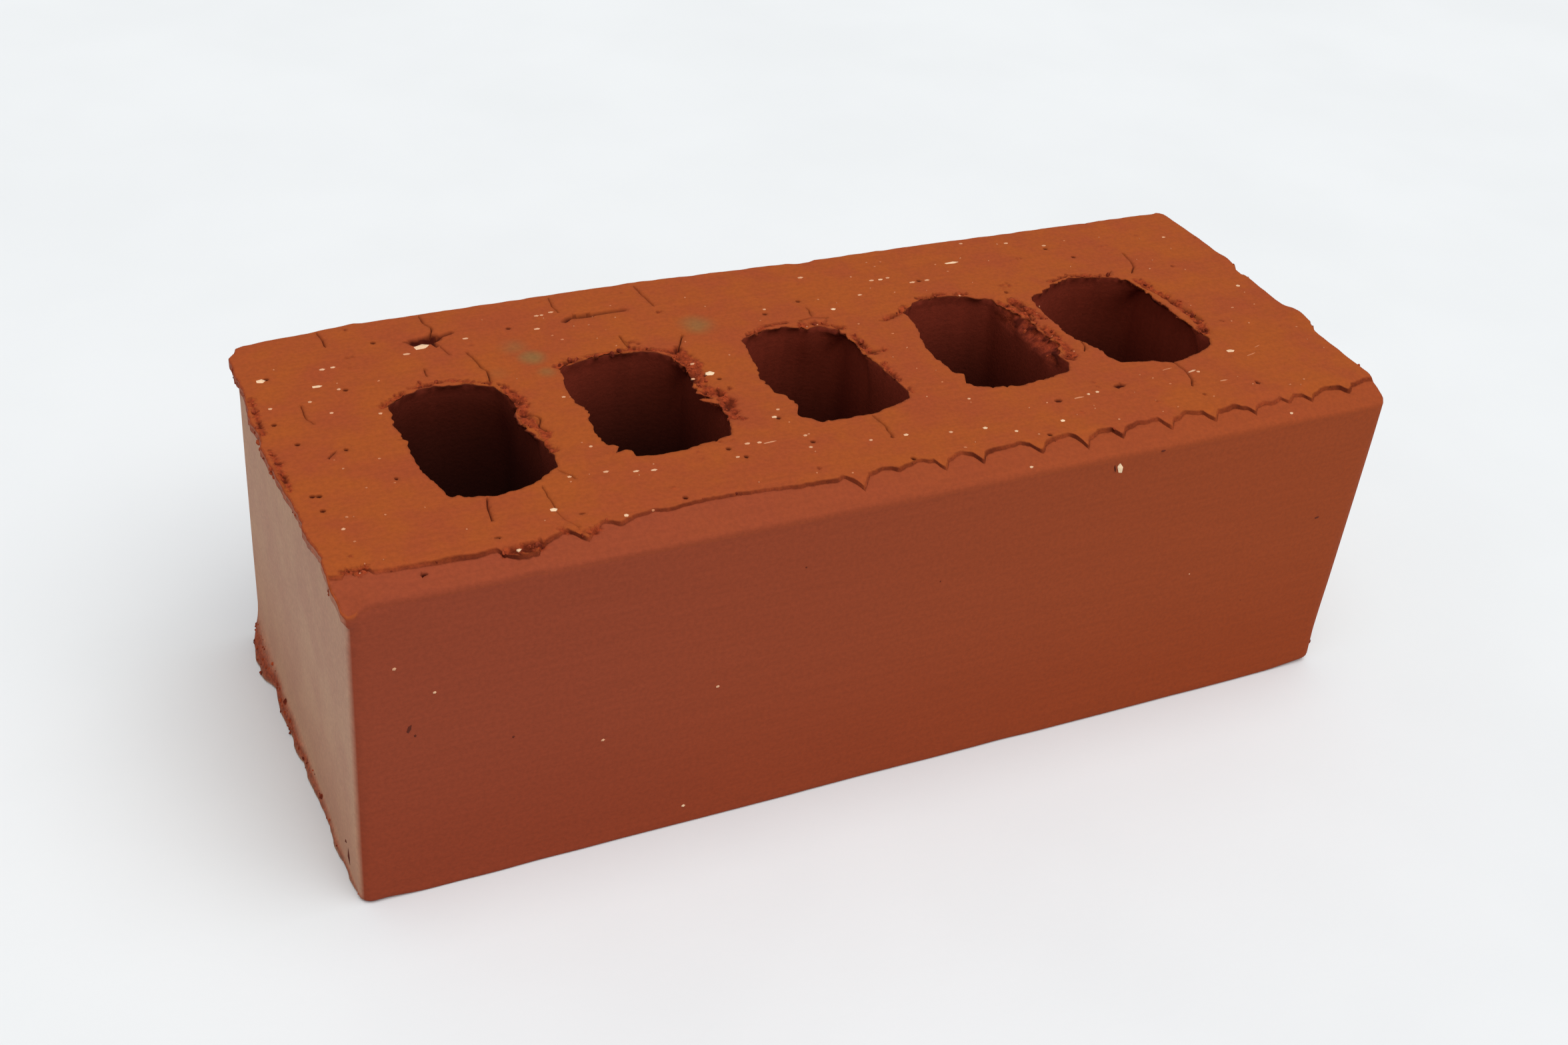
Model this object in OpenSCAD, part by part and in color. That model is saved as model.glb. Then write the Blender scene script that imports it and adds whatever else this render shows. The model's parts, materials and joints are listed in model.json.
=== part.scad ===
// Extruded, wire-cut clay face brick with five through cores.
// Millimetres. +X along the stretcher face, +Y from the front face to the back face, +Z up.
// The origin is the centre of the lower bed face's outline.

/* [Brick] */
// Length of the stretcher faces, along X
brick_length = 230; // [200:1:300]
// Width of the header faces, along Y
brick_width = 90; // [65:1:120]
// Height between the two bed faces, along Z
brick_height = 76; // [40:1:120]
// Radius of the four upright corners, left by the extruder's die
corner_r = 2.5; // [0.5:0.5:6]
// Radius of the lower bed's edges, pressed round by the setting belt
bed_edge_r = 1.2; // [0.4:0.2:3]

/* [Front shoulder] */
// Depth of the smoothed shoulder behind the front face, at the upper bed
shoulder_depth = 6; // [2:0.5:10]
// Small step from the upper bed down to the shoulder
shoulder_step = 0.7; // [0.2:0.1:1.5]
// Height that the shoulder loses by the time it meets the front face, step included
shoulder_fall = 3; // [2:0.5:6]

/* [Cores] */
// Number of cores along the brick
core_count = 5; // [1:1:5]
// Core size along the brick
core_width = 26; // [15:0.5:32]
// Core size across the brick, over its two curved ends
core_length = 40; // [34:1:50]
// Straight part of a core's two sides
core_straight = 30; // [20:1:33]
// Distance between neighbouring core centres
core_pitch = 39; // [34:0.5:47]
// How far the row of cores sits off the brick's middle, along its own line
core_offset = -1.5; // [-4:0.5:4]
// Small turn of the row of cores, in degrees, from a die that sat a little askew
core_turn = 1.2; // [-2:0.1:2]

/* [Hidden] */
$fn = 96;
// What a cutting solid reaches past the face it cuts
overcut = 5;
half_length = brick_length / 2;
half_width = brick_width / 2;
// Rise of a core's curved end, and the radius that this rise gives over the core's width
core_bow = (core_length - core_straight) / 2;
core_end_r = (pow(core_width / 2, 2) + pow(core_bow, 2)) / (2 * core_bow);
// Shoulder's fall for each millimetre towards the front, below the step
shoulder_slope = (shoulder_fall - shoulder_step) / shoulder_depth;

// Rectangle centred in X from its foot upwards, with its two lower corners rounded
module footed_outline(across, up, r) {
    translate([-across / 2, r]) square([across, up - r]);
    translate([-across / 2 + r, 0]) square([across - 2 * r, r]);
    for (side = [-1, 1]) translate([side * (across / 2 - r), r]) circle(r);
}

// Outline of the brick seen from above: a rectangle with four rounded corners
module bed_outline() {
    square([brick_length - 2 * corner_r, brick_width], center = true);
    square([brick_length, brick_width - 2 * corner_r], center = true);
    for (x = [-1, 1], y = [-1, 1])
        translate([x * (half_length - corner_r), y * (half_width - corner_r)]) circle(corner_r);
}

// Block with rounded upright corners and rounded lower edges
module clay_block() {
    intersection() {
        linear_extrude(brick_height) bed_outline();
        rotate([90, 0, 90]) linear_extrude(brick_length + 2 * overcut, center = true)
            footed_outline(brick_width, brick_height, bed_edge_r);
        rotate([90, 0, 0]) linear_extrude(brick_width + 2 * overcut, center = true)
            footed_outline(brick_length, brick_height, bed_edge_r);
    }
}

// Outline of what the smoothing roll pressed away along the upper front edge, in Y and Z
module shoulder_outline() {
    polygon([
        [-half_width - overcut, brick_height + overcut],
        [-half_width - overcut, brick_height - shoulder_fall - shoulder_slope * overcut],
        [-half_width + shoulder_depth, brick_height - shoulder_step],
        [-half_width + shoulder_depth, brick_height + overcut]
    ]);
}

// The shoulder's cutting solid, along the whole front edge
module shoulder_cut() {
    rotate([90, 0, 90]) linear_extrude(brick_length + 2 * overcut, center = true) shoulder_outline();
}

// One curved end of a core, beyond the straight sides
module core_end() {
    intersection() {
        translate([-core_width / 2, core_straight / 2]) square([core_width, core_bow]);
        translate([0, core_length / 2 - core_end_r]) circle(core_end_r);
    }
}

// Outline of a core: straight sides along Y and a bowed end towards each stretcher face
module core_outline() {
    square([core_width, core_straight], center = true);
    core_end();
    mirror([0, 1]) core_end();
}

// The row of cores, right through from bed to bed
module cores() {
    rotate(core_turn) for (i = [0 : core_count - 1])
        translate([core_offset + (i - (core_count - 1) / 2) * core_pitch, 0, -overcut])
            linear_extrude(brick_height + 2 * overcut) core_outline();
}

// The fired brick, one piece of clay
module brick() {
    color([0.65, 0.31, 0.16]) difference() {
        clay_block();
        shoulder_cut();
        cores();
    }
}

brick();
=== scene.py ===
"""Looks of an extruded, wire-cut clay face brick with five through cores.

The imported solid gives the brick's box and the places of its cores. Everything here is worked out in
millimetres from the brick's lower front left corner, with x along the front face, y towards the back
face and z up, and is turned into metres in the row frame when a mesh is made.
"""

import itertools
import json
import logging
import math
from dataclasses import dataclass, field
from enum import Enum
from typing import Sequence

import bmesh
import bpy
import numpy as np
from mathutils import Matrix, Vector
from mathutils.geometry import delaunay_2d_cdt


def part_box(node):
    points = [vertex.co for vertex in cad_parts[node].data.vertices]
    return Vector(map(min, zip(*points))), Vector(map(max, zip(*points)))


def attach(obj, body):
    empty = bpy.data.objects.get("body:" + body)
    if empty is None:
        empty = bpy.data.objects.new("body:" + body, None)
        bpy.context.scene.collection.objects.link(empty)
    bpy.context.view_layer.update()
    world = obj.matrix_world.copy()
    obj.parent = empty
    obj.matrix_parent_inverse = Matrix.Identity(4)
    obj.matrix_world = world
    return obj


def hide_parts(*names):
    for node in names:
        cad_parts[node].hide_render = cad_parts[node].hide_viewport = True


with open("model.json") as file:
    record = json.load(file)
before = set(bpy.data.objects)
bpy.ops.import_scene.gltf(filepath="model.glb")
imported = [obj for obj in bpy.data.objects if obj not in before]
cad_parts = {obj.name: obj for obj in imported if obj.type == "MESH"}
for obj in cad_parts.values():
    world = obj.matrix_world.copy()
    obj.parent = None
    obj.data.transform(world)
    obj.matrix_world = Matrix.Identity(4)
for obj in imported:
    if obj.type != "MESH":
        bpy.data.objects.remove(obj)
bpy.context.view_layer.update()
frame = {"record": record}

MM = 0.001
LOG = logging.getLogger("brick")

Point = tuple[float, float]
Line = tuple[Point, ...]


class Side(Enum):
    """The four upright faces, in the order that the outline meets them."""

    FRONT = 0
    RIGHT = 1
    BACK = 2
    LEFT = 3


class Mask(Enum):
    """Surface masks that the clay's mesh carries for its material, from 0 to 1."""

    BED = "bed"
    HEADER = "header"
    CORE = "core"
    TORN = "torn"
    # Painted shade in cracks, pits and crevices, and thin painted shadow lines under the bed's lip and the
    # far core rims
    CRACK_AND_SHADE = "crack_and_shade"
    # Painted shade that deepens down each core
    CORE_SHADE = "core_shade"
    STAIN = "stain"


# ---------------------------------------------------------------------------------------------
# Noise and lines
# ---------------------------------------------------------------------------------------------


@dataclass(frozen=True)
class Ripple:
    """One layer of noise: its strength, the size of its swells and how far into the noise it starts."""

    strength: float
    wavelength: float | tuple[float, float, float]
    start: float = 0.0


class Noise:
    """Smooth seeded noise on a repeating lattice, from -1 to 1."""

    SIDE = 40

    def __init__(self, seed: int) -> None:
        """Draws the lattice.

        Args:
            seed: The number that fixes the pattern.
        """
        self._lattice = np.random.default_rng(seed).uniform(-1, 1, (self.SIDE,) * 3)

    def at(self, points: np.ndarray, wavelength: float | Sequence[float]) -> np.ndarray:
        """Reads the noise.

        Args:
            points: Rows of two or three coordinates, in millimetres.
            wavelength: Size of a swell, one number or one for each axis.

        Returns:
            One value for each point.
        """
        if points.shape[1] == 2:
            points = np.column_stack([points, np.zeros(len(points))])
        scaled = points / np.broadcast_to(np.asarray(wavelength, float), (3,))
        cell = np.floor(scaled).astype(int)
        part = scaled - cell
        part = part * part * (3 - 2 * part)
        total = np.zeros(len(points))
        for corner in itertools.product((0, 1), repeat=3):
            weight = np.prod(np.where(corner, part, 1 - part), axis=1)
            x, y, z = ((cell + corner) % self.SIDE).T
            total += weight * self._lattice[x, y, z]
        return total

    def rough(self, points: np.ndarray, wavelength: float, octaves: int = 3) -> np.ndarray:
        """Adds finer and finer layers of the noise, each half as strong.

        Args:
            points: Rows of two or three coordinates, in millimetres.
            wavelength: Size of the largest swell.
            octaves: Number of layers.

        Returns:
            One value for each point, from about -1.5 to 1.5.
        """
        return sum(self.at(points + 7.3 * i, wavelength / 2**i) / 2**i for i in range(octaves))

    def layered(self, points: np.ndarray, ripples: Sequence[Ripple]) -> np.ndarray:
        """Adds up layers of the noise, for one value at each point."""
        return sum(ripple.strength * self.at(points + ripple.start, ripple.wavelength) for ripple in ripples)


def fade(value: np.ndarray | float) -> np.ndarray | float:
    """Eases 0 to 1 with flat ends, and holds what lies outside."""
    part = np.clip(value, 0, 1)
    return part * part * (3 - 2 * part)


def resampled(line: Sequence[Point], step: float) -> np.ndarray:
    """Spreads points evenly along a line.

    Args:
        line: The line's own points.
        step: Wanted distance between points.

    Returns:
        The points, the line's two ends among them.
    """
    points = np.asarray(line, float)
    run = np.concatenate([[0], np.cumsum(np.linalg.norm(np.diff(points, axis=0), axis=1))])
    count = max(2, int(round(run[-1] / step)) + 1)
    places = np.linspace(0, run[-1], count)
    return np.column_stack([np.interp(places, run, points[:, i]) for i in (0, 1)])


def line_distance(points: np.ndarray, line: np.ndarray, reach: float) -> np.ndarray:
    """Measures how far points lie from a line.

    Args:
        points: Rows of x and y.
        line: The line's points.
        reach: Distances are not measured past this.

    Returns:
        The distance of each point, at most reach.
    """
    result = np.full(len(points), reach)
    low, high = line.min(0) - reach, line.max(0) + reach
    near = np.flatnonzero(np.all((points > low) & (points < high), axis=1))
    chosen = points[near]
    best = np.full(len(near), reach)
    for start, end in zip(line[:-1], line[1:]):
        run = end - start
        share = np.clip((chosen - start) @ run / max(run @ run, 1e-12), 0, 1)
        best = np.minimum(best, np.linalg.norm(chosen - start - share[:, None] * run, axis=1))
    result[near] = best
    return result


def inside(points: np.ndarray, outline: np.ndarray) -> np.ndarray:
    """Tells which points lie within a closed outline.

    Args:
        points: Rows of x and y.
        outline: The outline's points, in order.

    Returns:
        A truth value for each point.
    """
    result = np.zeros(len(points), bool)
    low, high = outline.min(0), outline.max(0)
    near = np.flatnonzero(np.all((points > low) & (points < high), axis=1))
    x, y = points[near].T
    odd = np.zeros(len(near), bool)
    for (x0, y0), (x1, y1) in zip(outline, np.roll(outline, -1, axis=0)):
        if y0 != y1:
            crosses = ((y0 > y) != (y1 > y)) & (x < (x1 - x0) * (y - y0) / (y1 - y0) + x0)
            odd ^= crosses
    result[near] = odd
    return result


def clear_of(points: np.ndarray, rings: list[np.ndarray], margin: float) -> np.ndarray:
    """Finds the points that lie inside the first ring and outside the others, clear of all by a margin.

    Args:
        points: Rows of x and y.
        rings: The outside ring, then the holes.
        margin: Smallest distance to a ring.

    Returns:
        True for each point that is clear.
    """
    fine = inside(points, rings[0])
    for hole in rings[1:]:
        fine &= ~inside(points, hole)
    if margin:
        for ring in rings:
            fine &= line_distance(points, closed(ring), margin) >= margin
    return fine


def closed(line: np.ndarray) -> np.ndarray:
    """Repeats the first point at the end."""
    return np.vstack([line, line[:1]])


def looped(values: np.ndarray, width: int) -> np.ndarray:
    """Averages each value of a ring with its neighbours, over a window of that many."""
    kernel = np.ones(width) / width
    padded = np.concatenate([values[-width:], values, values[:width]])
    return np.convolve(padded, kernel, "same")[width:-width]


def linked(name: str, data: bpy.types.ID) -> bpy.types.Object:
    """Makes an object of a mesh, a lamp or a camera, and puts it in the scene."""
    made = bpy.data.objects.new(name, data)
    bpy.context.scene.collection.objects.link(made)
    return made


# ---------------------------------------------------------------------------------------------
# Sizes from the frame
# ---------------------------------------------------------------------------------------------


@dataclass(frozen=True)
class CoreSeat:
    """Where one core goes through the brick."""

    x: float
    y: float


@dataclass(frozen=True)
class BrickSize:
    """The brick's box and cores, in millimetres from its lower front left corner."""

    low: Vector
    length: float
    width: float
    height: float
    seats: tuple[CoreSeat, ...]
    core_width: float = 26
    core_length: float = 40
    core_straight: float = 30
    corner_r: float = 2.5

    @classmethod
    def from_frame(cls, node: str) -> "BrickSize":
        """Reads the box of a node and the centres of its openings.

        Args:
            node: The CAD node's name.

        Returns:
            The sizes.
        """
        low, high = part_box(node)
        span = (high - low) / MM
        seats = []
        for opening in frame["record"]["physics"]["openings"]:
            near, far = (Vector(corner) for corner in opening["box_m"])
            middle = ((near + far) / 2 - low) / MM
            seats.append(CoreSeat(middle.x, middle.y))
        return cls(low, span.x, span.y, span.z, tuple(seats))

    @property
    def core_turn(self) -> float:
        """Angle of the row of cores to the front face, in radians."""
        first, last = self.seats[0], self.seats[-1]
        return math.atan2(last.y - first.y, last.x - first.x)


class MeshDraft:
    """Vertices, triangles and masks of one closed mesh, in millimetres."""

    def __init__(self) -> None:
        """Starts with nothing."""
        self._points: list[np.ndarray] = []
        self._masks: dict[Mask, list[np.ndarray]] = {mask: [] for mask in Mask}
        self._triangles: list[np.ndarray] = []
        self._count = 0

    def add(self, points: np.ndarray, masks: dict[Mask, np.ndarray | float]) -> np.ndarray:
        """Adds vertices.

        Args:
            points: Rows of x, y and z.
            masks: Values for each vertex, or one for all. A mask left out is 0.

        Returns:
            The new vertices' numbers.
        """
        for mask, values in self._masks.items():
            values.append(np.broadcast_to(np.asarray(masks.get(mask, 0.0), float), len(points)))
        self._points.append(points)
        numbers = np.arange(self._count, self._count + len(points))
        self._count += len(points)
        return numbers

    def plan(self, numbers: np.ndarray) -> np.ndarray:
        """Gives the x and y of some of the vertices."""
        return np.vstack(self._points)[numbers][:, :2]

    def face(self, triangles: np.ndarray) -> None:
        """Adds triangles, as rows of three vertex numbers."""
        self._triangles.append(np.asarray(triangles, int))

    def band(self, fine: np.ndarray, coarse: np.ndarray) -> None:
        """Joins two closed rings of vertices.

        Args:
            fine: Numbers of one ring.
            coarse: Numbers of the other ring, as many or half as many.
        """
        fine_next, coarse_next = np.roll(fine, -1), np.roll(coarse, -1)
        if len(fine) == len(coarse):
            self.face(np.column_stack([fine, coarse, coarse_next]))
            self.face(np.column_stack([fine, coarse_next, fine_next]))
        else:
            first, middle, last = fine[0::2], fine[1::2], np.roll(fine, -2)[0::2]
            self.face(np.column_stack([first, coarse, middle]))
            self.face(np.column_stack([middle, coarse, coarse_next]))
            self.face(np.column_stack([middle, coarse_next, last]))

    def below(self, ring: np.ndarray, points: np.ndarray,
              masks: dict[Mask, np.ndarray | float]) -> np.ndarray:
        """Adds a closed ring of vertices under another, and joins the two.

        Args:
            ring: Numbers of the ring above.
            points: Rows of x, y and z of the new ring: as many, half as many or twice as many.
            masks: Their masks.

        Returns:
            The new ring's numbers.
        """
        new = self.add(points, masks)
        self.band(*((new, ring) if len(new) > len(ring) else (ring, new)))
        return new

    def build(self, name: str, size: BrickSize) -> bpy.types.Object:
        """Makes the object, with its place in its mesh and its faces outwards.

        Args:
            name: The object's and the mesh's name.
            size: The brick, for the corner that the millimetres start from.

        Returns:
            The linked object.
        """
        points = np.vstack(self._points) * MM + np.array(size.low)
        triangles = np.vstack(self._triangles)
        mesh = bpy.data.meshes.new(name)
        mesh.from_pydata(points.tolist(), [], triangles.tolist())
        for mask, values in self._masks.items():
            attribute = mesh.attributes.new(mask.value, "FLOAT", "POINT")
            attribute.data.foreach_set("value", np.concatenate(values).astype(np.float32))
        work = bmesh.new()
        work.from_mesh(mesh)
        bmesh.ops.delete(work, geom=[v for v in work.verts if not v.link_faces], context="VERTS")
        bmesh.ops.recalc_face_normals(work, faces=work.faces)
        open_edges = sum(not edge.is_manifold for edge in work.edges)
        work.to_mesh(mesh)
        work.free()
        mesh.shade_smooth()
        LOG.info("%s: %d triangles, %d open edges", name, len(triangles), open_edges)
        return linked(name, mesh)


# ---------------------------------------------------------------------------------------------
# Relief of the upper bed
# ---------------------------------------------------------------------------------------------


@dataclass(frozen=True)
class Crack:
    """A drying crack across the upper bed."""

    line: Line
    half_width: float = 0.28
    depth: float = 1.0
    # How strongly the crack is painted dark as shade
    shade_strength: float = 1.0


@dataclass(frozen=True)
class Pit:
    """A small hole in the upper bed."""

    x: float
    y: float
    half_along: float = 0.6
    half_across: float = 0.6
    depth: float = 1.0


@dataclass(frozen=True)
class TornStrip:
    """A strip of clay that the wire tore rough, along a line on the upper bed."""

    line: Line
    reach: float
    drop: float = 0.3


@dataclass(frozen=True)
class Swell:
    """A shallow rise or hollow of the upper bed around a point."""

    x: float
    y: float
    reach: float
    rise: float

    def away(self, plan: np.ndarray) -> np.ndarray:
        """Tells how far places lie from the point, as a share of the reach."""
        return np.linalg.norm(plan - (self.x, self.y), axis=1) / self.reach


CRACKS: tuple[Crack, ...] = (
    Crack(((39, 89.8), (39.3, 87), (40.2, 85), (39.7, 83), (39, 81.5))),
    Crack(((39.7, 76), (40.7, 73)), 0.2),
    Crack(((44.3, 72.5), (45, 69), (45.2, 66.5), (46, 64.5), (45.5, 61))),
    Crack(((34, 68.5), (33.8, 66)), 0.2),
    Crack(((7.3, 62), (7, 58.5), (8, 55)), 0.2, 0.7, 0.8),
    Crack(((17, 89), (17.7, 86), (17.3, 83.5))),
    Crack(((32, 21), (31.2, 18), (30.8, 14))),
    Crack(((42.8, 21), (43, 17), (42.8, 14)), 0.2, 0.5, 0.7),
    Crack(((42.6, 13), (43.3, 10), (45, 7.4)), 0.16, 0.3, 0.35),
    Crack(((48, 25), (49.5, 23), (49.7, 22)), 0.2),
    Crack(((88, 89.5), (88.5, 85), (88.8, 80.5))),
    Crack(((68, 90), (67.5, 86), (68, 84)), 0.2),
    Crack(((77, 70), (77, 65.8))),
    Crack(((90, 66.5), (88.5, 64), (86.5, 61))),
    Crack(((115, 25), (115.7, 20.5), (115.3, 17.5))),
    Crack(((189.5, 25), (189.5, 20), (189, 17.5), (188, 15.5)), 0.32),
    Crack(((207.5, 73), (207, 69), (206, 66), (204, 63.5))),
    Crack(((199, 65.5), (197.5, 64)), 0.2),
    Crack(((121.5, 70), (121, 66)), 0.2),
    Crack(((135.5, 60.5), (138, 61), (140.5, 62)), 0.35),
    Crack(((173, 35.5), (174, 37), (174.3, 38.5)), 0.25),
    Crack(((118, 65.3), (120.5, 65.4), (123.5, 65)), 0.25, 0.7),
    # The gouge near the back edge, and the scratch beside it
    Crack(((33.5, 80.4), (36, 80.1)), 0.5, 0.7),
    Crack(((35.5, 79.9), (37.6, 79.8), (39.4, 80.5)), 1.9, 1.3),
    Crack(((39.5, 80.6), (41.5, 81), (43.4, 81.6)), 0.8, 0.8),
    Crack(((37.8, 79.5), (38.8, 78.4), (39.4, 77.2)), 0.7, 0.9),
    Crack(((68, 79.6), (69, 80.4), (71.5, 80.7)), 0.9, 0.8),
    Crack(((71.2, 80.7), (74, 80.6)), 1.2, 1.0),
    Crack(((73.8, 80.6), (78, 80.7), (82, 80.5)), 0.9, 0.8, 0.85),
    Crack(((156.5, 65.2), (159, 66.2)), 0.3, 0.6),
    Crack(((24.5, 44.8), (22, 45.2)), 0.16, 0.3, 0.5),
    Crack(((202.6, 57), (205, 52), (206, 47), (207, 44), (207, 39.5)), 0.4, 0.7, 0.8),
    Crack(((49.2, 46), (50.3, 44), (49.4, 42), (50, 40)), 0.35, 0.7, 0.9),
    Crack(((86.6, 43), (88.9, 43.3)), 0.5, 0.9, 0.9),
    Crack(((168.3, 58), (170, 55), (169.4, 51.5)), 0.35, 0.6, 0.8),
    Crack(((127, 49.2), (129.8, 49)), 0.45, 0.6, 0.8),
    Crack(((9.2, 44.3), (8, 43)), 0.35, 0.6),
)

PITS: tuple[Pit, ...] = (
    Pit(27, 82), Pit(55.6, 79.9, 0.6), Pit(3.5, 49), Pit(11.7, 44.6, 0.5), Pit(2, 31.3),
    Pit(3.2, 31), Pit(2.7, 26.3), Pit(18, 32.3, 0.4), Pit(0.9, 57), Pit(47, 10.8, 0.7, 0.3),
    Pit(30, 8.5, 0.7, 0.3), Pit(67.3, 9.8), Pit(81.7, 22.5), Pit(84, 19, 0.5), Pit(96, 30),
    Pit(99, 20), Pit(17, 65.5), Pit(3.2, 74), Pit(111.3, 70.2), Pit(115.7, 8.6),
    Pit(120.9, 73.4), Pit(152.2, 74.3), Pit(155.9, 18.8, 1.0, 0.7), Pit(172, 20, 1.6, 0.7),
    Pit(147, 7.8), Pit(194.5, 74.7), Pit(202.5, 12, 0.45, 0.9), Pit(190, 80.2),
    Pit(15, 3.9, 0.8, 0.35), Pit(88.8, 42.5, 0.8, 0.7, 1.2), Pit(90.6, 47.6, 0.6, 0.5),
)

TORN_STRIPS: tuple[TornStrip, ...] = (
    TornStrip(((47.8, 58), (48.3, 50), (47.4, 44), (49.4, 40), (48.6, 33)), 2.6, 0.35),
    TornStrip(((22, 57.4), (23.5, 58.8), (27, 61)), 1.1, 0.5),
    TornStrip(((29, 62.6), (38, 63.2), (45, 60)), 0.9, 0.2),
    TornStrip(((86.5, 60), (87.5, 53), (86.5, 46), (88, 41), (87.6, 34)), 4.0, 0.5),
    TornStrip(((80, 26), (83.5, 25)), 1.0, 0.2),
    TornStrip(((60, 62), (66, 64), (78, 64.5), (84, 62)), 0.9, 0.2),
    TornStrip(((117, 63.4), (121, 63.6), (125.5, 60)), 1.6, 0.3),
    TornStrip(((126, 56), (126.6, 48), (130, 48.8)), 1.8, 0.3),
    TornStrip(((127, 44), (127.4, 38), (127.8, 31)), 1.2, 0.2),
    TornStrip(((102, 62.4), (110, 65.4), (114, 65.4)), 0.8, 0.2),
    TornStrip(((166.4, 60), (169, 53), (169.6, 46), (170.4, 40), (168.4, 34)), 2.6, 0.4),
    TornStrip(((136, 60.6), (140.8, 62.2), (144, 65)), 1.0, 0.5),
    TornStrip(((148, 67), (154, 67.6), (160, 66)), 0.8, 0.2),
    TornStrip(((203.4, 60), (205.4, 52), (206, 46), (206, 40), (204.6, 34)), 2.2, 0.5),
    TornStrip(((182, 65.4), (188, 67), (198, 64)), 0.8, 0.2),
    TornStrip(((168, 61), (170, 57), (171.5, 51)), 2.4, 0.15),
    TornStrip(((30.5, 5), (33, 4.2), (37, 5)), 2.4, 0.3),
    TornStrip(((42, 7.2), (44.5, 6), (47, 5.6), (49, 6.4)), 1.1, 0.2),
    TornStrip(((1.5, 7.6), (5, 7.4)), 1.6, 0.4),
    TornStrip(((-1.2, 34), (-1.8, 48)), 0.9, 0.1),
    TornStrip(((-1.8, 54), (-1.2, 68)), 0.9, 0.1),
)

SWELLS: tuple[Swell, ...] = (
    Swell(34, 3.2, 4.2, 0.9),
    Swell(47.5, 44, 3.0, 0.3),
    Swell(88.5, 50, 2.6, 0.35),
    Swell(120.5, 64.6, 2.6, 0.35),
    Swell(61.5, 27.5, 2.6, 0.3),
    Swell(230.5, 63, 4.0, 0.3),
    Swell(231, 35, 4.5, 0.4),
)

# Grey-green stains on the bed: here the rise is how strong the stain is
STAINS: tuple[Swell, ...] = (
    Swell(56.5, 67, 3.6, 0.9), Swell(54, 72, 4.0, 0.3), Swell(57.5, 60.5, 2.6, 0.4),
    Swell(95, 70, 5, 0.45), Swell(48, 63, 3, 0.12),
)

# Where the bed's skin ends above the smoothed shoulder: plain from the left, then a row of scallops
STEP_LINE: Line = (
    (-4, 6), (1, 5.4), (2.2, 7.4), (3.4, 5.4), (5, 7.2), (6.6, 5.2), (10, 5), (15, 4.8), (20, 4.6),
    (25, 4.4), (29, 4.8), (30.5, 3.4), (32, 2), (34, 1.5), (36, 2.2), (37.4, 4.6), (41, 5.4),
    (43, 6.2), (44.6, 4.6), (46, 3.4), (47, 4.4), (48, 5.5), (50, 6.4), (53, 5.3), (56, 6.5),
    (60, 6.9), (63, 6.4), (68, 7.1), (75, 7.3), (80, 7), (85, 6.5), (90, 6.1), (96, 5.7),
    (99.5, 6.2), (101.3, 4.6), (102.5, 2.6), (103.8, 4.4), (105, 5.7), (108, 6.5), (110, 6.2),
    (111.5, 5.2), (113, 6), (117, 6.8), (119.7, 5.7), (121.3, 3.7), (122.6, 5.4), (126, 6.8),
    (128.3, 5.6), (129.7, 3.5), (130.8, 5), (133, 5.9), (139, 6.3), (141.6, 5.2), (143.3, 3.2),
    (144.8, 4.8), (147, 5.4), (151, 6), (152.6, 4.6), (153.8, 2.2), (155.2, 4.2), (158, 5.2),
    (161, 5.5), (162.7, 3.2), (164.2, 4.8), (168, 5.6), (173, 5.6), (175, 3), (176.4, 4.8),
    (180, 5.8), (184.2, 5), (186, 2.7), (187.6, 4.4), (193, 5), (195, 4.2), (196.3, 2.5),
    (197.8, 4.4), (200, 4.8), (202, 4), (204.5, 5.2), (206, 3.8), (208, 5), (210.2, 4.8),
    (211.7, 3), (213.2, 4.6), (217, 5.4), (220.4, 4.8), (222, 3.2), (223.6, 4.8), (228, 5.4),
    (234, 5.2),
)


SKIN_SWELL = (Ripple(0.22, (70, 30, 1)), Ripple(0.07, (22, 6, 1), 31))
SKIN_DRAG = (Ripple(0.02, (14, 0.9, 1), 57), Ripple(0.03, (6, 3, 1), 83))
SKIN_DRAPE = (Ripple(0.5, 5, 29),)
SHOULDER_DRAG = (Ripple(0.06, (26, 5, 1), 11), Ripple(0.02, (6, 1.2, 1), 17))


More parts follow.
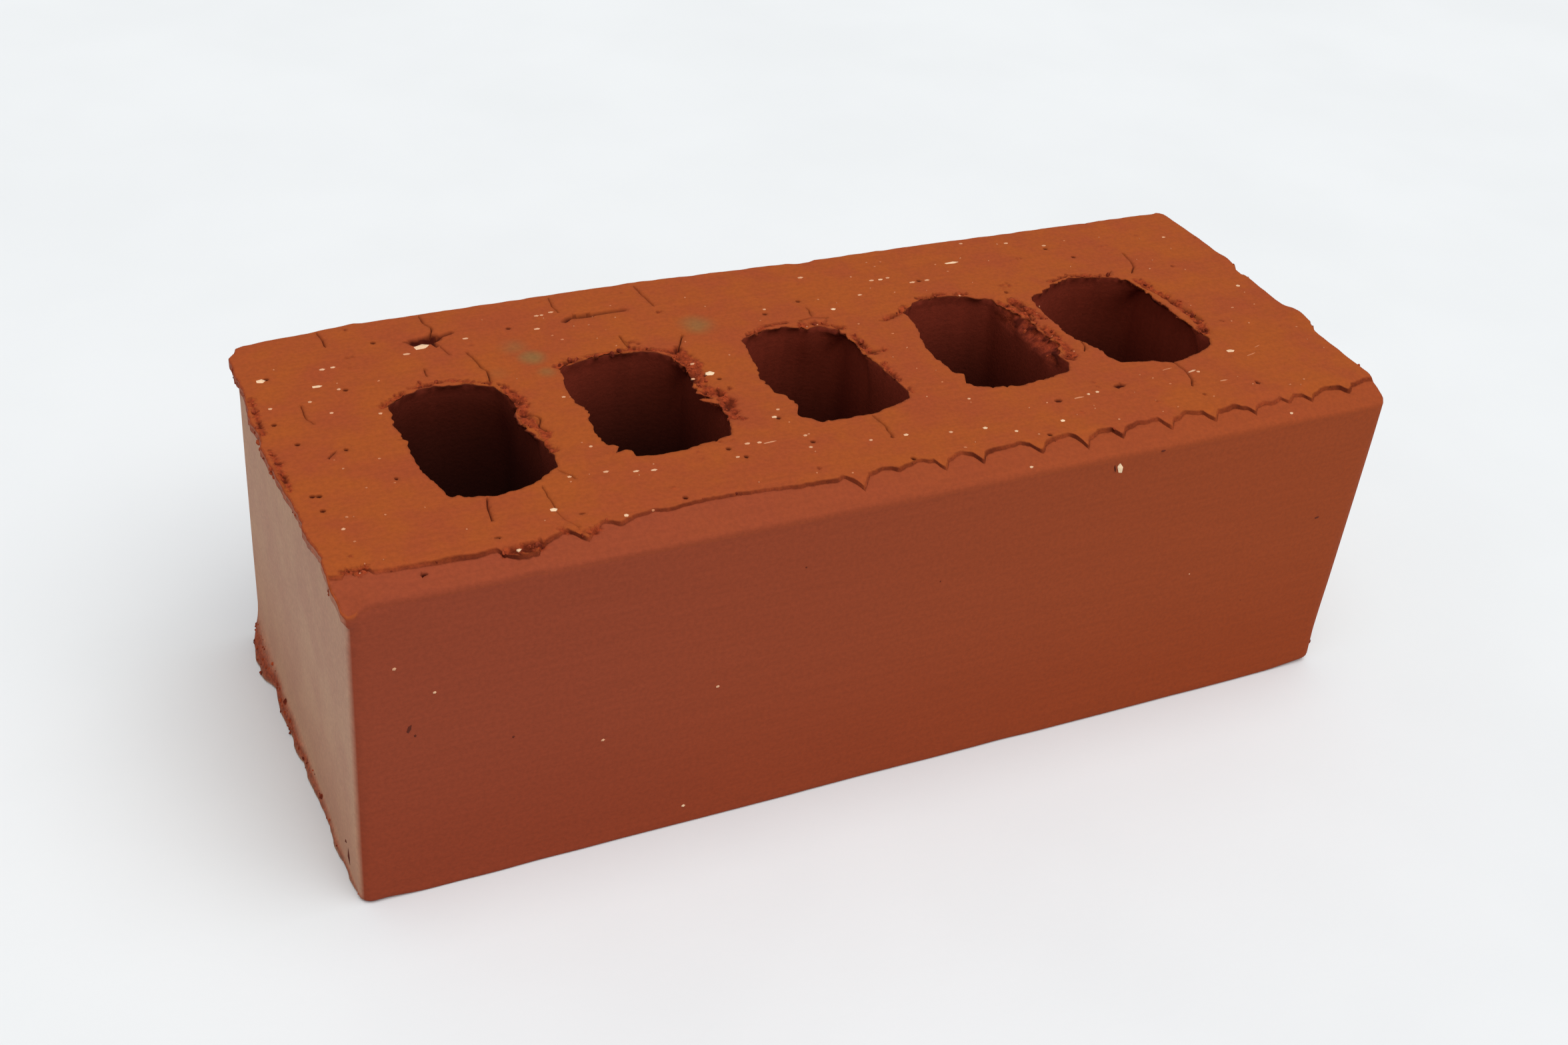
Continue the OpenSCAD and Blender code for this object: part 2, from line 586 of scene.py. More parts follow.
@dataclass
class BedRelief:
    """Heights and masks of the upper bed, shoulder included, over the brick's plan.

    The bed's skin ends in a lip above the shoulder. The riser is the small step under that lip, and the
    scallops are the row of teeth that the lip has further along.
    """

    size: BrickSize
    shoulder_step: float = 0.7
    shoulder_fall: float = 3.0
    shoulder_depth: float = 6.0
    skin_thickness: float = 0.45
    skin_drop: float = 0.1
    lip_set_back: float = 0.9
    lip_droop: float = 0.16
    lip_droop_reach: float = 0.6
    least_step: float = 0.25
    groove: float = 0.1
    groove_reach: float = 0.5
    line_spacing: float = 0.5
    scallops_from: float = 28.0
    scallops_ease: float = 6.0
    ragged_before: float = 0.08
    ragged: float = 0.26
    riser_half: float = 0.11
    riser_reach: float = 0.5
    riser_slope: float = 0.8
    riser_darkest: float = 0.85
    crack_spacing: float = 0.55
    crack_wander: float = 0.22
    crack_bend: float = 1.7
    crack_shade_fill: float = 2.2
    pit_shade_fill: float = 2.4
    pit_reach: float = 1.15
    torn_gain: float = 1.3
    torn_ragged: float = 0.6
    torn_from: float = 0.72
    torn_ease: float = 0.25
    torn_patch: float = 2.3
    torn_sink: float = 0.25
    torn_lump: float = 0.45
    lump_size: float = 1.5
    crevice_shade: float = 0.75
    shoulder_red: float = 0.8
    corner_sink: float = 2.0
    corner_reach: float = 5.2
    seed: int = 11
    cracks: list[np.ndarray] = field(default_factory=list)
    step_line: np.ndarray = field(default_factory=lambda: np.zeros((0, 2)))

    def __post_init__(self) -> None:
        """Gives the cracks and the step line their small natural wander."""
        self.noise = Noise(self.seed)
        for crack_and_shade in CRACKS:
            line = resampled(crack_and_shade.line, self.crack_spacing)
            bends = [self.noise.at(line + start, self.crack_bend) for start in (40, 90)]
            self.cracks.append(line + self.crack_wander * np.column_stack(bends))
        line = resampled(STEP_LINE, self.line_spacing)
        scalloped = fade((line[:, 0] - self.scallops_from) / self.scallops_ease)
        ragged = self.ragged_before + (self.ragged - self.ragged_before) * scalloped
        line[:, 1] += self.lip_set_back + ragged * self.noise.rough(line, 2.0, 3)
        self.step_line = line

    def lip_at(self, x: np.ndarray) -> np.ndarray:
        """Distance from the front face to the skin's lip, at places along the brick."""
        return np.interp(x, self.step_line[:, 0], self.step_line[:, 1])

    def base(self, plan: np.ndarray) -> np.ndarray:
        """Height of the bed's skin and shoulder before any mark is cut.

        Args:
            plan: Rows of x and y.

        Returns:
            One height for each row.
        """
        x, y = plan.T
        noise, top = self.noise, self.size.height
        skin = top + noise.layered(plan, SKIN_SWELL) + noise.layered(plan, SKIN_DRAG) - self.skin_drop
        gap = y - self.lip_at(x)
        skin -= self.lip_droop * np.exp(-np.clip(gap, 0, None) / self.lip_droop_reach)
        share = np.clip(y / (self.shoulder_depth + self.lip_set_back), -0.5, 1.2)
        shoulder = top - self.shoulder_fall + (self.shoulder_fall - self.shoulder_step) * share
        shoulder += noise.layered(plan, SHOULDER_DRAG)
        shoulder = np.minimum(shoulder, skin - self.least_step)
        drape = self.skin_thickness * (1 + noise.layered(plan, SKIN_DRAPE))
        skin = np.minimum(skin, shoulder + drape)
        shoulder -= self.groove * np.exp(-np.clip(-gap, 0, None) / self.groove_reach)
        rise = np.clip((gap + self.riser_half) / (2 * self.riser_half), 0, 1)
        return shoulder + (skin - shoulder) * rise

    def shape(self, plan: np.ndarray) -> tuple[np.ndarray, dict[Mask, np.ndarray]]:
        """Works out heights and masks.

        Args:
            plan: Rows of x and y.

        Returns:
            One height for each row, and the masks.
        """
        x, y = plan.T
        height = self.base(plan)
        patch, crevice = self._tear(plan, height)
        cut = self._cut(plan, height)
        height -= self.corner_sink * fade(1 - np.linalg.norm(plan, axis=1) / self.corner_reach)
        lip = self.lip_at(x)
        riser = np.clip((self.riser_reach - np.abs(y - lip)) / (self.riser_reach - self.riser_half), 0, 1)
        masks = {
            Mask.BED: 1 - self.shoulder_red * fade((lip - y) / 0.4 + 0.5),
            # Along the riser the torn colour is partly the lip's torn clay and partly painted shadow under it
            Mask.TORN: np.maximum(patch, 0.45 * riser),
            # Painted shade in the cracks, pits and crevices between torn lumps, and painted shadow under the
            # lip along the riser
            Mask.CRACK_AND_SHADE: np.maximum(np.maximum(cut, self.crevice_shade * crevice),
                                   riser * self.riser_shade(x)),
            Mask.STAIN: self.stain(plan),
        }
        return height, masks

    def _tear(self, plan: np.ndarray, height: np.ndarray) -> tuple[np.ndarray, np.ndarray]:
        """Roughens the torn strips and adds the swells.

        Args:
            plan: Rows of x and y.
            height: Their heights, changed in place.

        Returns:
            How torn each place is, and how deep it lies between the lumps, both from 0 to 1.
        """
        torn = np.zeros(len(plan))
        for strip in TORN_STRIPS:
            near = fade(1 - line_distance(plan, resampled(strip.line, 2), strip.reach) / strip.reach)
            torn = np.maximum(torn, near)
            height -= strip.drop * near
        for swell in SWELLS:
            height += swell.rise * fade(1 - swell.away(plan))
        ragged = self.noise.rough(plan + 5, self.torn_patch, 3)
        patch = fade((self.torn_gain * torn + self.torn_ragged * ragged - self.torn_from) / self.torn_ease)
        lumps = self.noise.rough(plan + 19, self.lump_size, 2)
        height -= patch * (self.torn_sink - self.torn_lump * lumps)
        return patch, patch * fade(-1.8 * lumps - 0.15)

    def _cut(self, plan: np.ndarray, height: np.ndarray) -> np.ndarray:
        """Cuts the cracks and the pits.

        Args:
            plan: Rows of x and y.
            height: Their heights, changed in place.

        Returns:
            How dark the cracks and pits are painted as shade at each place, from 0 to 1.
        """
        cut = np.zeros(len(plan))
        for crack_and_shade, line in zip(CRACKS, self.cracks):
            near = np.clip(1 - line_distance(plan, line, crack_and_shade.half_width) / crack_and_shade.half_width, 0, 1)
            height -= crack_and_shade.depth * near
            cut = np.maximum(cut, crack_and_shade.shade_strength * np.minimum(1, self.crack_shade_fill * near))
        for pit in PITS:
            away = np.hypot((plan[:, 0] - pit.x) / pit.half_along, (plan[:, 1] - pit.y) / pit.half_across)
            near = np.clip(self.pit_reach - away, 0, 1)
            height -= pit.depth * near
            cut = np.maximum(cut, np.minimum(1, self.pit_shade_fill * near))
        return cut

    def riser_shade(self, x: np.ndarray) -> np.ndarray:
        """Gives how dark the painted shadow under the lip is along the riser: darkest where its teeth turn to
        the left.
        """
        line = self.step_line
        slope = np.interp(x, line[:, 0], np.gradient(looped(line[:, 1], 3), self.line_spacing))
        dark = np.interp(x, (28, 45), (0.34, 0.42))
        dark = dark + 0.25 * self.noise.at(np.column_stack([x, np.zeros(len(x))]), 6)
        dark = dark + 0.48 * fade(-slope / self.riser_slope) - 0.1 * fade(slope / self.riser_slope)
        return np.clip(dark, 0, self.riser_darkest)

    def stain(self, plan: np.ndarray) -> np.ndarray:
        """Gives how strongly grey-green salts stain the bed, from 0 to 1."""
        result = np.zeros(len(plan))
        patchy = 0.85 + 0.3 * self.noise.rough(plan + 63, 3.5, 2)
        for stain in STAINS:
            result = np.maximum(result, stain.rise * fade(1.1 - stain.away(plan)) * patchy)
        return np.clip(result, 0, 1)

    def marks(self) -> tuple[np.ndarray, list[tuple[int, int]]]:
        """Lays out the points and lines that keep the marks crisp in the mesh.

        Returns:
            Rows of x and y, and the pairs of them that are joined by an edge.
        """
        lines: list[np.ndarray] = []
        for crack_and_shade, line in zip(CRACKS, self.cracks):
            run = np.gradient(line, axis=0)
            run /= np.maximum(np.linalg.norm(run, axis=1), 1e-9)[:, None]
            across = np.column_stack([-run[:, 1], run[:, 0]]) * crack_and_shade.half_width
            lines += [line, line + across, line - across]
        for shift in (-self.riser_reach, -self.riser_half, self.riser_half, self.riser_reach):
            lines.append(self.step_line + (0, shift))
        points = list(lines)
        edges: list[tuple[int, int]] = []
        count = 0
        for line in lines:
            edges += [(count + i, count + i + 1) for i in range(len(line) - 1)]
            count += len(line)
        turn = np.linspace(0, 2 * math.pi, 9)[:-1]
        for pit in PITS:
            oval = np.column_stack([pit.half_along * np.cos(turn), pit.half_across * np.sin(turn)])
            points.append(np.array([[pit.x, pit.y]]))
            points += [oval * share + (pit.x, pit.y) for share in (0.6, self.pit_reach)]
        return np.vstack(points), edges


# ---------------------------------------------------------------------------------------------
# The brick's clay
# ---------------------------------------------------------------------------------------------


@dataclass(frozen=True)
class EdgeLip:
    """How far one side's upper edge stands proud of the wall, as (place along the side, proud)."""

    proud: Line
    thickness: float
    roll: float
    ragged: float


LIPS: dict[Side, EdgeLip] = {
    Side.FRONT: EdgeLip(((0, -0.4), (12, 0), (230, 0)), 0.5, 1.1, 0.03),
    Side.RIGHT: EdgeLip(
        ((0, 0), (20, -0.2), (25, -0.2), (27.6, 0), (28.4, 0.7), (30, 1.0), (31, 1.7), (35, 1.9), (38, 1.7),
         (38.8, 0.8), (39.6, 0.7), (40.2, 0.4), (47, 0.5), (54.8, 0.7), (55.4, 0.1), (58, 0.3), (58.8, 0.8),
         (59.4, 1.3), (61, 1.4), (64, 1.5), (68, 1.2), (75, 1.1), (85, 0.3), (90, 0)), 2.5, 0.25, 0.08),
    Side.BACK: EdgeLip(
        ((0, -1.9), (4, -1.3), (10, -0.5), (17, 0.1), (25, 1.1), (30, 0.8), (60, 1.3), (90, 1.6),
         (110, 0.8), (126, 0.3), (128.5, -0.6), (131, -0.6), (133, 0.2), (160, 0.1), (200, -0.2),
         (230, -0.5)), 1.5, 0.25, 0.14),
    Side.LEFT: EdgeLip(
        ((0, 0.2), (4, 1.4), (15, 1.5), (22, 1.8), (30, 2.2), (40, 2.7), (50, 3), (60, 2.8),
         (68, 2), (84, 1.9), (90, -1)), 1.7, 0.35, 0.4),
}

# How far the foot flares, along the left header and along the right one
LEFT_FLARE: Line = (
    (0, -0.4), (6, 0.2), (14, 1.0), (20, 0.8), (26, 0.7), (36, 1.2), (46, 1.4), (56, 1.3), (62, 1.5),
    (65, 1.0), (67.5, 0.8), (69.5, 1.1), (71.5, 2.5), (77, 2.7), (83, 2.4), (86, 1.5), (88, 0.9), (90, 0.3),
)
RIGHT_FLARE: Line = ((0, 0.9), (10, 0.9), (40, 0.3), (90, 0))
# Height at which the flare starts on every side, by the place along that side
FLARE_HEIGHT: Line = ((0, 2), (20, 3), (50, 5), (70, 7), (90, 11))
# How crumbled the left header's upper edge is, along the header
LEFT_CRUMBLE: Line = ((0, 0.5), (15, 0.75), (35, 0.9), (90, 1.0))
# Radius of the front face's lower edge, along the brick
FRONT_FOOT_WEAR: Line = ((0, 2.6), (12, 0.6), (218, 0.8), (230, 2.6))


@dataclass(frozen=True)
class Mouth:
    """A core's mouth at the upper bed: outline, the torn right rim's place and depth, and how much painted
    shade darkens its core from the top.
    """

    outline: Line
    torn_span: Point
    torn_depth: float
    core_shade: float


# Outlines run anticlockwise from the right
MOUTHS: tuple[Mouth, ...] = (
    Mouth(((47.6, 50), (47.3, 53.5), (45.5, 58.5), (40.5, 61.2), (34, 62.3), (27.5, 60.6), (23.5, 58),
           (23.3, 56), (22.7, 50), (23.1, 45), (22.7, 40), (23.5, 32), (25, 26), (25, 24), (29.5, 22.2),
           (34, 21.3), (42, 22.8), (48, 27), (48.7, 31), (48.3, 36), (47.6, 40), (46, 43), (46.2, 46)),
          (38, 52), 1.8, 0.4),
    Mouth(((86, 52), (86, 56), (84.5, 60), (80, 63), (72, 64.3), (65.5, 63), (60.5, 61.2), (60, 57),
           (59, 52), (59.2, 47), (60.2, 43.5), (59.5, 41), (58.8, 35), (59.2, 31), (60, 27.6), (61.6, 29.8),
           (62.7, 30.9), (63.2, 28), (63.5, 25.6), (65, 25.2), (72, 24.7), (79, 25.7), (84.5, 27), (86, 32),
           (87.3, 34.5), (86.4, 36), (86.8, 38), (86.2, 39.6), (86.9, 41.4), (86, 43), (84.8, 41.6),
           (83.4, 41.2), (84.6, 44), (84, 46), (85.4, 49)),
          (33, 58), 2.0, 0.22),
    Mouth(((125, 47), (125.1, 54), (124.5, 59.5), (121, 62.2), (117.5, 61.6), (117, 63), (112, 64.5),
           (106, 63.8), (101.7, 61), (101.3, 57), (100, 50), (98.8, 45), (100, 39), (101.6, 37.5),
           (101.7, 33), (100.4, 29.7), (102.5, 27), (106, 26), (110, 26), (116, 26), (121, 27.5),
           (126, 29), (127, 32), (126.5, 38), (126, 43)),
          (47, 61), 1.5, 0.02),
    Mouth(((168.4, 50), (167, 54), (165, 57.5), (164.4, 62), (160, 65), (156, 66.3), (151, 66.8),
           (146, 65.5), (142, 62.4), (142.2, 60), (141.4, 56), (140.2, 50), (139.4, 44), (139.8, 38),
           (140, 36), (141.7, 34.4), (140.3, 30.8), (142, 29), (147, 27.5), (152, 26.6), (160, 27.8),
           (165, 29), (166.6, 32), (166.3, 35), (168, 37.5), (169.4, 40), (168.4, 42), (168.4, 45)),
          (35, 58), 3.0, 0.08),
    Mouth(((202.2, 50), (202, 57), (201.4, 61), (199, 62.6), (194, 65), (188, 66), (181.5, 64.2),
           (178, 61.8), (174, 60.5), (173.2, 56), (172.8, 50), (173, 43), (174, 39), (176, 35),
           (176.5, 31), (178, 28.5), (184, 27), (189, 25), (192, 25), (198, 27), (202.5, 29),
           (203.7, 31.5), (203, 36), (202.5, 42)),
          (36, 60), 1.6, -0.04),
)


WALL_SWELL = (Ripple(0.16, (60, 40, 30)), Ripple(0.05, 9))
CORE_FLUTES = (Ripple(0.12, (7, 7, 60)),)


@dataclass
class ClayBody:
    """The fired brick itself: one closed mesh with a wire-cut bed, die-formed walls and torn cores.

    Rows are heights above the lower bed or depths under an edge, in millimetres.
    """

    size: BrickSize
    grain: float = 0.66
    floor_grain: float = 5.0
    column: float = 0.8
    arc_steps: int = 4
    core_columns: int = 300
    edge_angles: tuple[float, ...] = (30, 60, 90)
    bed_rows: tuple[float, ...] = (0.3, 0.7, 1.2, 1.7, 2.2, 2.8, 3.6, 4.8, 6.5)
    mid_rows: tuple[float, ...] = (63, 56, 48, 40, 32, 24, 17, 12.5)
    foot_rows: tuple[float, ...] = (10, 8, 6.2, 4.6, 3.2, 2.1, 1.2, 0.6, 0.25, 0)
    core_rows: tuple[float, ...] = (0.2, 0.5, 0.9, 1.4, 2.0, 2.7, 3.5, 4.6, 6.5, 9.5, 14.0)
    core_mid_rows: tuple[float, ...] = (50, 36, 20, 8, 0)
    far_below: float = 99.0
    lip_ease: float = 1.3
    foot_rough: float = 0.3
    least_flare: float = 0.25
    mouth_ease: float = 14.0
    tooth_ease: float = 1.3
    tooth_wave: float = 0.4
    tooth_grit: float = 0.22
    tooth_ridge: float = 0.85
    least_teeth: float = 0.35
    torn_lump: float = 1.0
    lump_size: float = 1.9
    crevice_shade: float = 0.85
    torn_bright: float = 0.7
    rim_sink: float = 0.12
    rim_reach: float = 0.3
    rim_shade: float = 0.35
    core_shade_reach: float = 40.0
    seed: int = 5

    def __post_init__(self) -> None:
        """Prepares the noise, the bed's relief and the outlines."""
        self.noise = Noise(self.seed)
        self.relief = BedRelief(self.size)
        self.draft = MeshDraft()
        self._lay_out_columns()
        self._lay_out_edges()

    def _lay_out_columns(self) -> None:
        """Spreads columns round the brick, each with its place, direction, side and place along it."""
        length, width, r = self.size.length, self.size.width, self.size.corner_r
        runs = (length - 2 * r, width - 2 * r) * 2
        corners = ((length - r, r), (length - r, width - r), (r, width - r), (r, r))
        places, normals, sides, along = [], [], [], []
        for side in Side:
            start = side.value * math.pi / 2 - math.pi / 2
            outward = np.array([math.cos(start), math.sin(start)])
            ahead = np.array([-outward[1], outward[0]])
            run = runs[side.value]
            count = int(round(run / self.column / 4)) * 4 - self.arc_steps
            before = np.array(corners[side.value - 1])
            for share in np.arange(count) / count:
                places.append(before + outward * r + ahead * run * share)
                normals.append(outward)
                along.append(r + run * share)
            for step in range(self.arc_steps):
                angle = start + math.pi / 2 * step / self.arc_steps
                normal = np.array([math.cos(angle), math.sin(angle)])
                places.append(np.array(corners[side.value]) + normal * r)
                normals.append(normal)
                along.append(r + run)
            sides += [side.value] * (count + self.arc_steps)
        self.places, self.normals, self.sides = np.array(places), np.array(normals), np.array(sides)
        flipped = np.isin(self.sides, (Side.BACK.value, Side.LEFT.value))
        whole = np.where(np.isin(self.sides, (Side.FRONT.value, Side.BACK.value)), length, width)
        self.along = np.where(flipped, whole - np.array(along), np.array(along))

    def _lay_out_edges(self) -> None:
        """Gives each column its upper lip, its torn part and its foot."""
        self.lip, self.thickness, self.roll, ragged = (np.zeros(len(self.sides)) for _ in range(4))
        for side, edge in LIPS.items():
            mine = self.sides == side.value
            self.lip[mine] = np.interp(self.along[mine], *zip(*edge.proud))
            self.thickness[mine], self.roll[mine], ragged[mine] = edge.thickness, edge.roll, edge.ragged
        self.thickness, self.roll = looped(self.thickness, 3), looped(self.roll, 5)
        corner = (np.abs(self.normals) < 0.99).all(1)
        self.lip = np.where(corner, looped(self.lip, 5), self.lip)
        self.lip += looped(ragged, 5) * self.noise.rough(self.places, 3.1, 3)
        left, right = (self.sides == side.value for side in (Side.LEFT, Side.RIGHT))
        self.header = fade((np.abs(self.normals[:, 0]) - 0.78) / 0.2)
        self.crumbly = np.where(left, np.interp(self.along, *zip(*LEFT_CRUMBLE)), 1.0)
        flare = left * np.interp(self.along, *zip(*LEFT_FLARE))
        flare = flare + right * np.interp(self.along, *zip(*RIGHT_FLARE))
        self.flare = looped(flare, 5) + self.least_flare
        self.flare_height = np.interp(self.along, *zip(*FLARE_HEIGHT))
        wear = np.interp(self.places[:, 0], *zip(*FRONT_FOOT_WEAR))
        self.foot_r = looped(np.where(self.sides == Side.FRONT.value, wear, 1.0), 7)

    def _wall_ring(self, height: np.ndarray | float,
                   depth: float) -> tuple[np.ndarray, dict[Mask, np.ndarray]]:
        """Places one ring of wall points.

        Args:
            height: Height of the points, one for each column or one for all.
            depth: How far they lie below their column's upper edge.

        Returns:
            Rows of x, y and z, and the ring's masks.
        """
        height = np.broadcast_to(np.asarray(height, float), len(self.places))
        depth = np.full(len(height), depth)
        points = np.column_stack([self.places, height])
        lip_share = 1 - fade((depth - self.thickness) / self.lip_ease)
        foot_share = fade(1 - height / self.flare_height)
        step = 0.5 + 0.5 * self.noise.at(points, (9, 3, 2.2))
        flare = self.flare * foot_share * (0.8 + 0.3 * step)
        rounding = np.clip(1 - height / self.foot_r, 0, 1)
        foot = self.foot_r * (1 - np.sqrt(np.clip(1 - rounding**2, 0, 1)))
        swell = self.noise.layered(points, WALL_SWELL)
        rough = self.foot_rough * (foot_share * self.header) * self.noise.rough(points, 2.4, 2)
        out = lip_share * self.lip + swell * (1 - lip_share) + flare - foot + rough
        torn_lip = self.header * self.crumbly * lip_share * fade(depth / 0.5)
        torn_foot = self.header * fade(foot_share * 1.6) * fade((height - 0.6) / 0.8)
        masks = {
            Mask.BED: 0.35 * fade(1 - depth / 0.6),
            Mask.HEADER: self.header,
            Mask.TORN: np.maximum(torn_lip, torn_foot),
        }
        return points + np.column_stack([self.normals * out[:, None], np.zeros(len(out))]), masks

    def _barrel(self) -> np.ndarray:
        """Lays out a core's clean outline about its own centre, turned with the row, as rows of x and y."""
        size = self.size
        bow = (size.core_length - size.core_straight) / 2
        radius = ((size.core_width / 2) ** 2 + bow**2) / (2 * bow)
        reach = math.asin(size.core_width / 2 / radius)
        bend = np.linspace(-reach, reach, 25)
        cap = np.column_stack([-radius * np.sin(bend), size.core_length / 2 - radius + radius * np.cos(bend)])
        outline = closed(np.vstack([cap, -cap]))
        turn = size.core_turn
        turned = outline @ np.array([[math.cos(turn), math.sin(turn)], [-math.sin(turn), math.cos(turn)]])
        ring = resampled(turned, np.linalg.norm(np.diff(turned, axis=0), axis=1).sum() / self.core_columns)
        ring = ring[: self.core_columns]
        return np.column_stack([looped(ring[:, i], self.core_columns // 26) for i in (0, 1)])

    def _mouth(self, index: int) -> tuple[np.ndarray, np.ndarray, np.ndarray]:
        """Lays out one core's clean barrel and its torn mouth, column by column.

        Args:
            index: Which core, from the left.

        Returns:
            Rows of x and y for the barrel, for the mouth, and for the mouth with its small teeth.
        """
        seat, ring = self.size.seats[index], self._barrel()
        centre = np.array([seat.x, seat.y])
        stretch = np.array([self.size.core_width, self.size.core_length])
        mouth = np.array(MOUTHS[index].outline) - centre
        angle = np.unwrap(np.arctan2(*(mouth / stretch).T[::-1]))
        order = np.argsort(angle)
        angle, mouth = angle[order], mouth[order]
        angle = np.concatenate([angle - 2 * math.pi, angle, angle + 2 * math.pi])
        mouth = np.vstack([mouth] * 3)
        wanted = np.arctan2(*(ring / stretch).T[::-1])
        torn = np.column_stack([np.interp(wanted, angle, mouth[:, i]) for i in (0, 1)])
        smooth = np.column_stack([looped(torn[:, i], 5) for i in (0, 1)])
        outward = torn / np.linalg.norm(torn, axis=1)[:, None]
        noise, place = self.noise, torn + centre
        teeth = self.tooth_wave * noise.rough(place, 3.1, 2) + self.tooth_grit * noise.at(place, 0.9)
        teeth += self.tooth_ridge * (0.3 - np.abs(noise.at(place + 70, 1.5)))
        # The wire left the front right part of each rim cleaner
        calm = fade((outward[:, 0] - outward[:, 1] - 0.5) / 0.5) * fade(-outward[:, 1] / 0.4)
        share = fade(0.75 + 0.8 * noise.at(place + 33, 9)) * (1 - 0.75 * calm)
        torn = torn + outward * (teeth * (self.least_teeth + (1 - self.least_teeth) * share))[:, None]
        return ring + centre, smooth + centre, torn + centre

    def _core_wall(self, index: int, top: np.ndarray, top_z: np.ndarray,
                   outlines: tuple[np.ndarray, np.ndarray, np.ndarray]) -> np.ndarray:
        """Builds one core's inner wall from its mouth down to the lower bed.

        Args:
            index: Which core, from the left.
            top: Numbers of the mouth's vertices.
            top_z: Their heights.
            outlines: The barrel, the mouth and the mouth with its teeth, as rows of x and y.

        Returns:
            Numbers of the lowest ring's vertices.
        """
        barrel, smooth, torn_plan = outlines
        mouth = MOUTHS[index]
        middle = barrel.mean(0)
        outward = (barrel - middle) / np.linalg.norm(barrel - middle, axis=1)[:, None]
        low, high = mouth.torn_span
        # How much each column belongs to the torn right rim, and how deep its mouth reaches down
        right = fade((outward[:, 0] - 0.3) / 0.25)
        right *= fade((smooth[:, 1] - low) / 5 + 0.5) * fade((high - smooth[:, 1]) / 9 + 0.5)
        ease = self.mouth_ease + (mouth.torn_depth - self.mouth_ease) * right
        ring = top
        for depth in self.core_rows:
            slow = (1 - fade((depth - 0.3) / ease))[:, None]
            quick = 1 - fade(depth / self.tooth_ease)
            plan = barrel + (smooth - barrel) * slow + (torn_plan - smooth) * quick
            points = np.column_stack([plan, top_z - depth])
            torn = right * (1 - fade((depth - 0.6 * mouth.torn_depth) / (0.7 * mouth.torn_depth)))
            lumps = self.noise.rough(points, self.lump_size, 3)
            points[:, :2] += outward * (self.torn_lump * torn * lumps)[:, None]
            # Painted shade in the crevices between the torn lumps
            crevice = self.crevice_shade * fade(-2.2 * lumps - 0.1) * torn
            # The far rim, seen from the front, gets a thin line of painted shade under its lip
            shade = self.rim_shade * fade(outward[:, 1] / 0.5) * fade(depth / 0.3)
            shade *= 1 - fade((depth - 0.9) / 2.0)
            masks = {Mask.CORE: fade(depth / 0.45), Mask.TORN: self.torn_bright * torn * fade(0.7 + lumps),
                     Mask.CRACK_AND_SHADE: np.maximum(crevice, shade), Mask.CORE_SHADE: self._core_shade(mouth, points[:, 2])}
            ring = self.draft.below(ring, points, masks)
        for height in self.core_mid_rows:
            points = np.column_stack([barrel[0::2], np.full(len(barrel) // 2, height)])
            points[:, :2] += outward[0::2] * self.noise.layered(points, CORE_FLUTES)[:, None]
            ring = self.draft.below(ring, points, {Mask.CORE: 1.0, Mask.CORE_SHADE: self._core_shade(mouth, height)})
        return ring

    def _core_shade(self, mouth: Mouth, height: np.ndarray | float) -> np.ndarray | float:
        """Gives how much painted shade darkens a core at a height: more and more on the way down."""
        return fade(mouth.core_shade + (self.size.height - height) / self.core_shade_reach)

    def _filling(self, rings: list[np.ndarray], spacing: float) -> np.ndarray:
        """Spreads points evenly, each a little off its place, between a ring and the holes in it.

        Args:
            rings: The outside ring, then the holes.
            spacing: Distance between the points.

        Returns:
            Rows of x and y.
        """
        rng = np.random.default_rng(self.seed)
        low, high = rings[0].min(0), rings[0].max(0)
        grid = []
        for number, y in enumerate(np.arange(low[1], high[1], spacing * math.sqrt(0.75))):
            across = np.arange(low[0] + spacing / 2 * (number % 2), high[0], spacing)
            grid.append(np.column_stack([across, np.full(len(across), y)]))
        filling = np.vstack(grid)
        filling += rng.uniform(-0.17, 0.17, filling.shape) * spacing
        return filling[clear_of(filling, rings, 0.42 * min(spacing, 2))]

    def _surface(self, rings: list[np.ndarray], spacing: float, marks: np.ndarray,
                 mark_edges: list[tuple[int, int]]) -> tuple[np.ndarray, np.ndarray, list[np.ndarray]]:
        """Fills a plan outline with triangles, leaving its holes open.

        Args:
            rings: Rows of x and y round the outside, then round each hole.
            spacing: Distance between the filling points.
            marks: More points to keep.
            mark_edges: Pairs of those points that need an edge.

        Returns:
            Rows of x and y, triangles, and the numbers of each ring's points.
        """
        filling = self._filling(rings, spacing)
